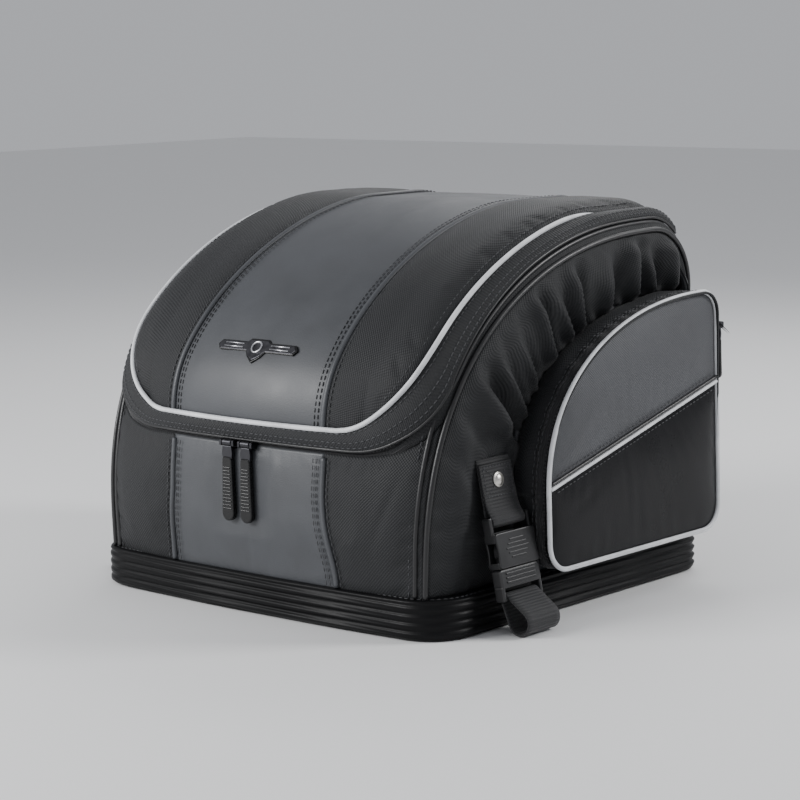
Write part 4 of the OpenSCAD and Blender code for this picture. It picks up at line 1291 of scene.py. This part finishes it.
def make_door(side, sign, outline, out):
    """The pocket's face, which folds down: nylon above its slanting seam, vinyl below it."""
    flip = np.array([sign, 1, 1])
    body = "pocket_door_" + side
    middle = (sign * 150, 40, 120)
    # the upper face's lighter nylon holds painted light, a reflection painted into its colour, besides a smoother
    # satin weave
    for part, upper, slot, material in (("upper", True, "ballistic_nylon", "pocket_nylon_painted_light"),
                                        ("lower", False, "smooth_vinyl", "dark_vinyl")):
        yz = door_grid(upper)
        u = np.linspace(0, 1, yz.shape[1])[None, :]
        v = np.linspace(0, 1, yz.shape[0])[:, None]
        pillow = (1 - np.abs(2 * u - 1) ** 4) * (1 - np.abs(2 * v - 1) ** 4)
        x = door_face_x(yz[:, :, 1]) - 3.0 + 2.6 * pillow
        grid = np.stack([x, yz[:, :, 0], yz[:, :, 1]], axis=2) * flip
        grid = swell(grid, 0.1, 4.0, centre=middle, pressure=2.2)
        grid = soft_folds(grid, (sign, 0, 0), 6, 71 if upper else 83, 0.7)
        piece = sheet_piece("pocket_face_%s_%s" % (part, side), grid, POCKET_THICK, body, slot,
                            ["pocket_%s_%s" % (part, side)], centre=middle, material=material,
                            inner="lining")
    gap = 0.9
    yz = outline + out * gap
    path = np.column_stack([door_face_x(yz[:, 1]) - 2.2, yz]) * flip
    outwards = np.column_stack([np.zeros(len(out)), out]) * flip
    tube_piece("pocket_piping_silver_" + side, path, SILVER_RADIUS, outwards, body,
               "silver_piping", ["pocket_piping_" + side], sides=12, closed=True)
    y = np.linspace(outline[:, 0].min() + 0.5, outline[:, 0].max() - 0.5, 70)
    path = np.column_stack([door_face_x(seam_z(y)) - 1.6, y, seam_z(y)]) * flip
    tube_piece("pocket_seam_piping_" + side, path, 1.5, (sign, 0, 0), body, "silver_piping",
               sides=10)
    tube_piece("pocket_seam_cord_" + side, path + np.array([0, 0, 3.6]), 1.4, (sign, 0, 0), body,
               "black_piping", sides=10)
    thread = Parts()
    for step in (-4.5, 8.0):
        line = path + np.array([sign * 1.0, 0, step])
        add_stitches(thread, line[2:-2], (sign, 0, 0))
    thread.sew("pocket_face_thread_" + side, body)
    rim = [np.column_stack([np.full(len(outline), POCKET_X[1] + x), outline + out * g])
           for x, g in ((0.9, 0.9), (2.0, 1.3), (3.6, 1.0))]
    sheet_piece("pocket_door_rim_" + side, np.array(rim) * flip, 1.6, body, "ballistic_nylon",
                ring=True, centre=middle)
    teeth = Parts()
    line = np.column_stack([np.full(len(outline), POCKET_X[1] + 0.9), outline + out * 1.3]) * flip
    add_teeth(teeth, line, np.array([-sign, 0, 0.0]), outwards, 3.0, 1.2, 1.3)
    teeth.piece("pocket_door_teeth_" + side, body, "zipper_coil")


def make_base_band():
    """The ribbed vinyl band round the foot of the bag."""
    lo, hi = low("base_band"), high("base_band")
    half = (hi[0] - lo[0]) / 2 - 2
    rear, front = lo[1] + 2 + 5, hi[1] - 2
    rear_r, front_r, bow = 36.0, 24.0, 5.0
    x = np.linspace(-(half - rear_r), half - rear_r, 60)
    rear_line = np.stack([x, rear - bow * (1 - (x / (half - rear_r)) ** 2)], axis=1)
    plan = np.concatenate([
        rear_line,
        arc((half - rear_r, rear + rear_r), rear_r, -88, 0, 14),
        arc((half - front_r, front - front_r), front_r, 0, 90, 8),
        arc((front_r - half, front - front_r), front_r, 90, 180, 8),
        arc((rear_r - half, rear + rear_r), rear_r, 180, 268, 14)])
    plan = resample(plan, 360, closed=True)
    step = unit(np.roll(plan, -1, axis=0) - np.roll(plan, 1, axis=0))
    out = np.stack([step[:, 1], -step[:, 0]], axis=1)
    run = np.arange(len(plan)) * 0.05
    ribs = 4
    profile = [(-4.0, 0.3), (-1.5, 0.2), (0.2, 0.8)]
    for k in range(ribs):
        for share in np.linspace(0.08, 0.92, 9):
            z = 1.2 + (k + share) * (BAND_TOP - 4.5) / ribs
            profile.append((2.6 * math.sin(math.pi * share) ** 0.6 - 0.4, z))
    profile += [(0.4, BAND_TOP - 3.1), (1.6, BAND_TOP - 2.0), (1.4, BAND_TOP - 0.8),
                (0.0, BAND_TOP - 0.1), (-3.0, BAND_TOP + 0.3), (-9.0, BAND_TOP + 0.4),
                (-16.0, BAND_TOP + 0.2)]
    rows = []
    for offset, z in profile:
        sway = 0.25 * np.sin(run * 1.7 + z) + 0.2 * np.sin(run * 4.1 + 2 * z)
        inside = np.clip((z - BAND_TOP + 0.6) / 0.5, 0, 1)
        yz = plan + out * (offset + sway * (1 - inside))[:, None]
        rows.append(np.column_stack([yz, np.full(len(plan), z)]))
    piece = sheet_piece("base_band_vinyl", np.array(rows), 3, "bag", "base_binding",
                        ["base_band"], ring=True, centre=(0, 0, 15))
    thread = Parts()
    line = np.column_stack([plan - out * 3.2, np.full(len(plan), BAND_TOP + 0.4)])
    add_stitches(thread, np.concatenate([line, line[:1]]), (0, 0, 1))
    thread.sew("base_band_thread", "bag")


def make_front():
    """Front face with the fabric hinge at its top, and the sleeve sewn onto it."""
    count, steps = 90, 60
    lid_corner = (LID_FRONT[0], LID_TOP - LID_FRONT[1])
    side_corner = (SIDE_CREST_Y, SIDE_TOP - SIDE_FRONT_R)
    middle = resample(np.concatenate([
        [[FRONT_Y, BAND_TOP - 1]], arc(lid_corner, LID_FRONT[1], 0, HINGE_TURN - 0.6, 14)]), steps)
    edge = resample(np.concatenate([
        [[FRONT_Y - 1, BAND_TOP - 1]],
        arc(side_corner, SIDE_FRONT_R + 1.5, 0, HINGE_TURN, 14)]), steps)
    x = np.linspace(-1, 1, count)
    grid = np.zeros((steps, count, 3))
    for i in range(steps):
        side_x = float(pipe_x(edge[i, 1])) - 0.5
        xs = x * side_x
        blend = smoothstep((np.abs(xs) - (LID_HALF - 1)) / (side_x - LID_HALF + 1))[:, None]
        yz = middle[i] * (1 - blend) + edge[i] * blend
        grid[i] = np.column_stack([xs, yz])
    up = np.linspace(0, 1, steps)[:, None]
    grid[:, :, 1] += 2.0 * (1 - np.abs(x)[None] ** 6) * np.sin(np.pi * up) ** 0.5 - 2.0
    piece = sheet_piece("front_face", soft_folds(grid, (0, 0.6, 0), 12, 31), 4, "bag",
                        "ballistic_nylon", ["front_panel"], inner="lining")
    lo, hi = low("backrest_sleeve"), high("backrest_sleeve")
    rows, cols = 40, 60
    xs = np.linspace(lo[0], hi[0], cols)
    sleeve = np.zeros((rows, cols, 3))
    edge_in = 1 - np.abs(np.linspace(-1, 1, cols)) ** 10
    for i, z in enumerate(np.linspace(lo[2], hi[2], rows)):
        top = smoothstep((hi[2] - z) / 10)
        depth = (hi[1] - FRONT_Y) * (0.12 + 0.88 * edge_in * (0.25 + 0.75 * top))
        sleeve[i] = np.column_stack([xs, FRONT_Y + depth, np.full(cols, z)])
    sleeve = soft_folds(sleeve, (0, 1, 0), 10, 17, 0.8)
    piece = sheet_piece("sleeve_nylon", sleeve, 2.2, "bag", "ballistic_nylon",
                        ["backrest_sleeve"], inner="lining")
    thread = Parts()
    for x0 in (lo[0] + 3, lo[0] + 6, hi[0] - 3, hi[0] - 6):
        z = np.linspace(lo[2] + 2, hi[2] - 2, 30)
        near = np.interp(x0, xs, sleeve[20, :, 1])
        add_stitches(thread, np.column_stack([np.full(30, x0), np.full(30, near + 0.4), z]),
                     (0, 1, 0))
    for z in (lo[2] + 4, lo[2] + 8):
        i = int(round((z - lo[2]) / (hi[2] - lo[2]) * (rows - 1)))
        add_stitches(thread, sleeve[i] + np.array([0, 0.4, 0]), (0, 1, 0))
    thread.sew("sleeve_thread", "bag")
    for side, sign in SIDES:
        z = np.linspace(BAND_TOP - 2, side_corner[1], 30)
        x = sign * (pipe_x(z) - 4.5)
        tube_piece("inner_binding_" + side, np.stack([x, np.full(30, FRONT_Y - 7.0), z], axis=1),
                   3.4, (0, 1, 0), "bag", "black_piping", sides=12, material="lining")
    y, z = arc(lid_corner, LID_FRONT[1] - 0.4, HINGE_TURN, HINGE_TURN, 1)[0]
    line = np.column_stack([np.linspace(-LID_HALF, LID_HALF, 120), np.full(120, y),
                            np.full(120, z)])
    tube_piece("hinge_cord", line, 2.4, (0, 0.7, 0.7), "bag", "black_piping", sides=12)


# ---------------------------------------------------------------- hardware and webbing
def joint_at(name):
    """A joint's place, in mm."""
    found = next(j for j in frame["joints"] if j["name"] == name)
    return np.array(found["pos_m"]) / MM


def ribbon_data(points, side, width, thickness, closed=False, cols=8):
    """A flat strap along a path; side points across it."""
    points = np.asarray(points, float)
    side = unit(np.asarray(side, float))
    if closed:
        along = unit(np.roll(points, -1, axis=0) - np.roll(points, 1, axis=0))
    else:
        along = unit(np.gradient(points, axis=0))
    top = unit(np.cross(along, side))
    a, b = width / 2 - thickness * 0.4, thickness / 2
    across = np.linspace(-a, a, cols)
    profile = [(x, -b) for x in across] + [(width / 2, 0.0)]
    profile += [(x, b) for x in across[::-1]] + [(-width / 2, 0.0)]
    run = run_along(points)
    verts, uv = [], []
    for i, point in enumerate(points):
        for x, height in profile:
            verts.append(point + side * x + top[i] * height)
            uv.append((x, run[i]))
    return verts, uv, bridge(len(points), len(profile), closed)


def lathe_data(profile, centre, axis, side, steps=28):
    """Turns a profile of (radius, height) round an axis."""
    axis, side = unit(np.asarray(axis, float)), unit(np.asarray(side, float))
    other = np.cross(axis, side)
    verts = []
    for radius, height in profile:
        for k in range(steps):
            a = 2 * math.pi * k / steps
            spoke = math.cos(a) * side + math.sin(a) * other
            verts.append(np.asarray(centre, float) + axis * height + spoke * radius)
    return verts, [(0, 0)] * len(verts), bridge(len(profile), steps)


def rounded(points, radius, steps=4):
    """Rounds the corners of a polygon."""
    points = np.asarray(points, float)
    out = []
    for i, p in enumerate(points):
        before = p + unit(points[i - 1] - p) * radius
        after = p + unit(points[(i + 1) % len(points)] - p) * radius
        for t in np.linspace(0, 1, steps):
            out.append(before * (1 - t) ** 2 + 2 * p * t * (1 - t) + after * t ** 2)
    return np.array(out)


STRAP_TURN = math.radians(12)
STRAP_ORIGIN = np.array([5.0, 0, -46])      # the buckle's bar, in the strap's own frame
WEB = 38.0


def strap_frame(sign):
    """Axes and origin of a mounting strap: outwards, along the bag, and up the strap."""
    c, s = math.cos(STRAP_TURN), math.sin(STRAP_TURN)
    axes = np.array([(sign * c, 0, s), (0, 1.0, 0), (-sign * s, 0, c)])
    pivot = joint_at("strap_swing_right" if sign > 0 else "strap_swing_left")
    return axes, pivot - STRAP_ORIGIN @ axes


def in_strap(points, sign):
    """Points given in a strap's own frame, in the bag's frame."""
    axes, origin = strap_frame(sign)
    return np.asarray(points, float) @ axes + origin


def add_block(parts, low_corner, high_corner, place, bevel=0.8):
    lo, hi = np.array(low_corner, float), np.array(high_corner, float)
    verts, uv, faces = box_data((lo + hi) / 2, hi - lo, bevel=bevel)
    parts.add(place(verts), uv, faces)


def add_plate(parts, outline, x, thickness, place, bevel=0.8):
    """A plate whose outline is given as (y, z), standing at x."""
    local, uv, faces = outline_slab(outline, thickness, bevel)
    verts = np.column_stack([x + local[:, 2], local[:, 0], local[:, 1]])
    parts.add(place(verts), uv, faces)


def make_strap(side, sign):
    """A mounting strap: tab, stitches, rivet, buckle, and the loop for the rack rail."""
    def place(points):
        return in_strap(points, sign)

    axes, _ = strap_frame(sign)
    out, along = axes[:2]
    web = [(1.9, 0.6), (1.9, -12), (1.8, -26), (1.7, -38), (1.7, -45)]
    web += [tuple(p) for p in arc((5.0, -46), 3.3, 175, 395, 14)]
    web += [(5.2, -38.5), (4.0, -32), (3.6, -20), (3.6, -3.5)]
    path = place([(x, 0, z) for x, z in web])
    path = resample(path, 80)
    tab = Parts()
    tab.add(*ribbon_data(path, along, WEB, 1.6))
    tab.piece("strap_tab_" + side, "bag", "webbing", ["strap_tabs"])
    stitches = Parts()
    x = 4.7
    corners = [(x, -15.5, -5.5), (x, 15.5, -5.5), (x, 15.5, -27.5), (x, -15.5, -27.5)]
    for a, b in zip(corners, corners[1:] + corners[:1]):
        add_stitches(stitches, resample(place([a, b]), 12), out, *FINE_STITCH)
    for a, b in ((corners[0], corners[2]), (corners[1], corners[3])):
        add_stitches(stitches, resample(place([a, b]), 14), out, *FINE_STITCH)
    stitches.sew("strap_stitches_" + side, "bag")
    rivet = Parts()
    dome = [(5.6, 0.0), (5.9, 0.5), (5.7, 1.1), (4.8, 1.4), (4.4, 1.2), (4.1, 1.7), (3.2, 2.3),
            (1.8, 2.7), (0.4, 2.8)]
    rivet.add(*lathe_data(dome, place([(4.3, 0, -16)])[0], out, along))
    rivet.piece("rivet_" + side, "bag", "rivet_steel", ["tab_rivets"])
    make_buckle(side, place)
    bar = place([(6.0, 0, -101.5)])[0]
    mount = next(m for m in frame["record"]["mounts"] if m["name"] == "rail_loop_" + side)
    rail = np.array(mount["pos_m"]) / MM
    a, b = bar[[0, 2]], rail[[0, 2]]
    ra, rb = 2.95, 9.0
    d = b - a
    heading = math.atan2(d[1], d[0])
    open_angle = math.acos((ra - rb) / np.linalg.norm(d))
    loop = [a + ra * np.array([math.cos(t), math.sin(t)]) for t in
            np.linspace(heading + open_angle, heading + 2 * math.pi - open_angle, 18)]
    loop += [b + rb * np.array([math.cos(t), math.sin(t)]) for t in
             np.linspace(heading - open_angle, heading + open_angle, 30)]
    loop = np.array([(p[0], bar[1], p[1]) for p in loop])
    loop = resample(loop, 110, closed=True)
    belt = Parts()
    belt.add(*ribbon_data(loop, (0, 1, 0), WEB, 1.6, closed=True))
    belt.piece("strap_belt_" + side, "clip_" + side, "webbing", ["strap_loop_" + side])
    seam = Parts()
    outer = loop + unit(loop - loop.mean(axis=0)) * 0.9
    for edge in (-WEB / 2 + 2.5, WEB / 2 - 2.5):
        add_stitches(seam, outer[:56] + np.array([0, edge, 0]),
                     unit(loop - loop.mean(axis=0))[:56], 2.4, 1.2, 0.36)
    seam.sew("belt_stitches_" + side, "clip_" + side)


def make_buckle(side, place):
    """Side-release buckle: a housing with open sides, and the clip that slides out of it."""
    shell = rounded([(-23, -80), (-21.5, -68), (-23, -54), (23, -54), (21.5, -68), (23, -80)], 3)
    female = Parts()
    add_plate(female, shell, 10.9, 2.2, place)
    add_plate(female, shell, 1.1, 2.2, place)
    add_block(female, (2, -21.5, -57.2), (10, 21.5, -54.3), place)
    for s in (-1, 1):
        for z0, z1 in ((-80, -75.4), (-61, -54.2)):
            y = sorted((s * 20.4, s * 22.8))
            add_block(female, (1.5, y[0], z0), (10.5, y[1], z1), place, 0.6)
        y = sorted((s * 20, s * 23))
        add_block(female, (1.2, y[0], -56), (9.0, y[1], -42.2), place, 1.0)
    bar = resample(place([(5, -21.5, -46), (5, 21.5, -46)]), 12)
    female.add(*tube_data(bar, 2.2, (0, 0, 1), 14))
    for z in (-60, -63.2, -66.4, -69.6, -72.8):
        width = 13 - abs(z + 66.4) * 0.7
        add_block(female, (11.2, -width, z - 0.75), (12.5, width, z + 0.75), place, 0.5)
    female.piece("buckle_housing_" + side, "buckle_" + side, "buckle_plastic",
                 ["buckle_female_" + side], smooth=False)
    male = Parts()
    block = rounded([(-23, -94.5), (-23, -80.6), (23, -80.6), (23, -94.5)], 2.4)
    add_plate(male, block, 6.0, 9.0, place, 1.4)
    for s in (-1, 1):
        y = sorted((s * 19.9, s * 23))
        add_block(male, (1.8, y[0], -104), (10.2, y[1], -93), place, 1.2)
    bar = resample(place([(6, -20.5, -101.5), (6, 20.5, -101.5)]), 12)
    male.add(*tube_data(bar, 1.8, (0, 0, 1), 14))
    add_block(male, (4, -3, -81), (8, 3, -60.2), place, 0.8)
    for z in (-84, -87.2, -90.4):
        add_block(male, (10.1, -17, z - 0.7), (11.3, 17, z + 0.7), place, 0.5)
    male.piece("buckle_clip_" + side, "clip_" + side, "buckle_plastic", ["buckle_male_" + side],
               smooth=False)
    for which, s in (("rear", -1), ("front", 1)):
        arm = Parts()
        shape = rounded([(13.6, -79.7), (17.5, -79.7), (17.2, -73.5), (18.4, -71.6),
                         (18.4, -65.5), (16.4, -62.1), (14.2, -62.4), (13.6, -68)], 0.8, 3)
        shape = shape * np.array([s, 1])
        add_plate(arm, shape, 6.0, 4.8, place, 0.5)
        for z in (-67, -69, -71):
            y = sorted((s * 17.9, s * 18.7))
            add_block(arm, (4.2, y[0], z - 0.4), (7.8, y[1], z + 0.4), place, 0.2)
        arm.piece("prong_%s_%s_arm" % (which, side), "prong_%s_%s" % (which, side),
                  "buckle_plastic", ["prong_%s_%s" % (which, side)], smooth=False)


def make_slider_and_pull(zip_name, side, facing, length, width, thick):
    """A zip slider, and the pull that hangs from its pin. facing is -1 where the slider looks to
    the rear, and 1 where it looks forward."""
    name = zip_name + "_" + side
    slider_node, pull_node = zip_name + "_slider_" + side, zip_name + "_pull_" + side
    pin = joint_at(zip_name + "_pull_swing_" + side)

    def place(points):
        points = np.asarray(points, float) * np.array([1, -facing, 1])
        return points + pin

    slider = Parts()
    big = width / 12
    nose = rounded(np.array([(-5, 3.4), (5, 3.4), (8, 1), (6.4, -5.4), (-6.4, -5.4), (-8, 1)])
                   * big, 1.4)
    local, uv, faces = outline_slab(nose, 2.8, 0.7)
    slider.add(place(np.column_stack([local[:, 0], 5.1 + local[:, 2], local[:, 1]])), uv, faces)
    cheek = rounded([(-2.2, -2.4), (-2.2, 2.2), (4.4, 3.2), (4.4, -3.6)], 1.0)
    for x in (-6.3 * big, 6.3 * big):
        local, uv, faces = outline_slab(cheek, 2.2 * big, 0.5)
        slider.add(place(np.column_stack([x + local[:, 2], local[:, 0], local[:, 1]])), uv, faces)
    pin_line = resample([(-7 * big, 0, 0), (7 * big, 0, 0)], 6)
    slider.add(*tube_data(place(pin_line), 1.0, (0, 0, 1), 14))
    slider.piece(name + "_slider_metal", slider_node, "slider_metal", [slider_node], smooth=False)
    pull = Parts()
    eye = [(0, 2.05 * math.cos(a), 2.05 * math.sin(a)) for a in
           np.linspace(0, 2 * math.pi, 25)[:-1]]
    pull.add(*ribbon_data(place(eye), (1, 0, 0), 9.0 * big, 1.0, closed=True))
    neck = rounded(np.array([(-4.4, -2.4), (4.4, -2.4), (5.4, -8), (4.2, -15), (-4.2, -15),
                             (-5.4, -8)]) * (big, 1), 0.9)
    local, uv, faces = outline_slab(neck, 3.2 * big, 0.6)
    pull.add(place(np.column_stack([local[:, 0], local[:, 2], local[:, 1]])), uv, faces)
    pull.piece(name + "_pull_link", pull_node, "slider_metal", smooth=False)
    grip = Parts()
    w = width / 2
    shape = [(-w * 0.8, -13)] + [tuple(p) for p in arc((0, w - length), w, 180, 360, 14)]
    shape += [(w * 0.8, -13), (w * 0.6, -10.5), (-w * 0.6, -10.5)]
    local, uv, faces = outline_slab(shape, thick, 1.2, 3)
    grip.add(place(np.column_stack([local[:, 0], local[:, 2], local[:, 1]])), uv, faces)
    z = -19.0
    while z > w - length + 2:
        half = np.interp(z, (w - length, -13), (w, w * 0.8)) - 1.6
        bar = resample([(-half, -thick / 2, z), (half, -thick / 2, z)], 6)
        grip.add(*tube_data(place(bar), 0.55, (0, 0, 1), 8))
        z -= 2.6
    grip.piece(name + "_pull_grip", pull_node, "pull_plastic", [pull_node], smooth=False)


def make_pulls():
    for side, _ in SIDES:
        for zip_name, facing, length, width, thick in (("main", -1, 60, 12, PULL_THICK),
                                                       ("pocket", 1, 44, 8, 3.5)):
            make_slider_and_pull(zip_name, side, facing, length, width, thick)


HANDLE_WEB_X = 58.0     # where the handle's two webs are sewn on


def add_loop(parts, x, axle, width, top):
    """A webbing loop sewn to the front face, which goes round an axle."""
    y, z = axle
    path = [(FRONT_Y + 1.2, z + top), (FRONT_Y + 1.2, z + top * 0.5), (FRONT_Y + 1.1, z + 3)]
    path += [tuple(p) for p in arc((y, z), 3.1, 170, 410, 12)]
    path += [(FRONT_Y + 3.2, z + 5), (FRONT_Y + 2.6, z + top * 0.5), (FRONT_Y + 2.6, z + top - 2)]
    path = resample([(x, a, b) for a, b in path], 50)
    parts.add(*ribbon_data(path, (1, 0, 0), width, 1.2))


def make_carrying():
    """Grab handle, its webbing, and the tabs that hold the shoulder strap's rings."""
    axle = joint_at("handle_swing")[1:]
    lo, hi = low("carry_handle"), high("carry_handle")
    webs, stitches = Parts(), Parts()
    for s in (-1, 1):
        for x in (-9, 9):
            add_loop(webs, s * HANDLE_WEB_X + x, axle, 7.6, 20)
        ring = joint_at("ring_swing_right")
        add_loop(webs, s * ring[0], ring[1:], 19, 19)
        y = FRONT_Y + 3.6
        for x, width, z in ((s * HANDLE_WEB_X, 22, axle[1]), (s * ring[0], 15, ring[2])):
            for height in (z + 9, z + 16):
                line = resample([(x - width / 2, y, height), (x + width / 2, y, height)], 12)
                add_stitches(stitches, line, (0, 1, 0), *FINE_STITCH)
        patch = rounded([(-14, 3.5), (14, 3.5), (14, 23), (-14, 23)], 2)
        local, uv, faces = outline_slab(patch, 1.2, 0.4)
        verts = np.column_stack([s * HANDLE_WEB_X + local[:, 0], FRONT_Y + 2.9 + local[:, 2],
                                 axle[1] + local[:, 1]])
        webs.add(verts, uv, faces)
    webs.piece("front_webbing", "bag", "webbing", ["front_anchors"])
    stitches.sew("front_webbing_stitches", "bag")
    grip = Parts()
    centre_z = lo[2] + 7.5
    x = np.linspace(lo[0] + 0.5, hi[0] - 0.5, 150)
    ends = 1 - np.clip((np.abs(x) - (hi[0] - 6)) / 6, 0, 1) ** 2 * 0.35
    radius = (6.9 + 0.55 * np.sin(x * 1.05)) * ends
    line = np.column_stack([x, np.full(150, axle[0] + 4), np.full(150, centre_z)])
    grip.add(*tube_data(line, radius, (0, 0, 1), 24))
    for s in (-1, 1):
        rod = resample([(s * HANDLE_WEB_X - 12.6, *axle), (s * HANDLE_WEB_X + 12.6, *axle)], 8)
        grip.add(*tube_data(rod, 1.8, (0, 0, 1), 14))
        x = s * HANDLE_WEB_X
        arm = resample([(x, axle[0], axle[1] + 1), (x, axle[0], axle[1] - 16),
                        (x, axle[0] + 2.5, centre_z + 4)], 16)
        grip.add(*ribbon_data(arm, (1, 0, 0), 8.6, 3.0))
    grip.piece("handle_grip", "handle", "handle_rubber", ["carry_handle"])


def finish_cad_pieces():
    """The rigid CAD pieces that stay get the same detailed materials as the rest."""
    slots = {part["node"]: part["material_slot"] for part in frame["record"]["subparts"]}
    for node, piece in frame["nodes"].items():
        piece.data.materials.clear()
        piece.data.materials.append(MATERIALS[slots[node]])


def main():
    make_camera()
    make_stage()
    make_lid()
    make_badge()
    make_flap()
    make_zip()
    make_lining()
    make_rear()
    make_side_piping()
    make_gusset()
    for side, sign in SIDES:
        make_side_panel(side, sign)
        make_pocket(side, sign)
        make_strap(side, sign)
    make_base_band()
    make_front()
    make_pulls()
    make_carrying()
    finish_cad_pieces()


main()
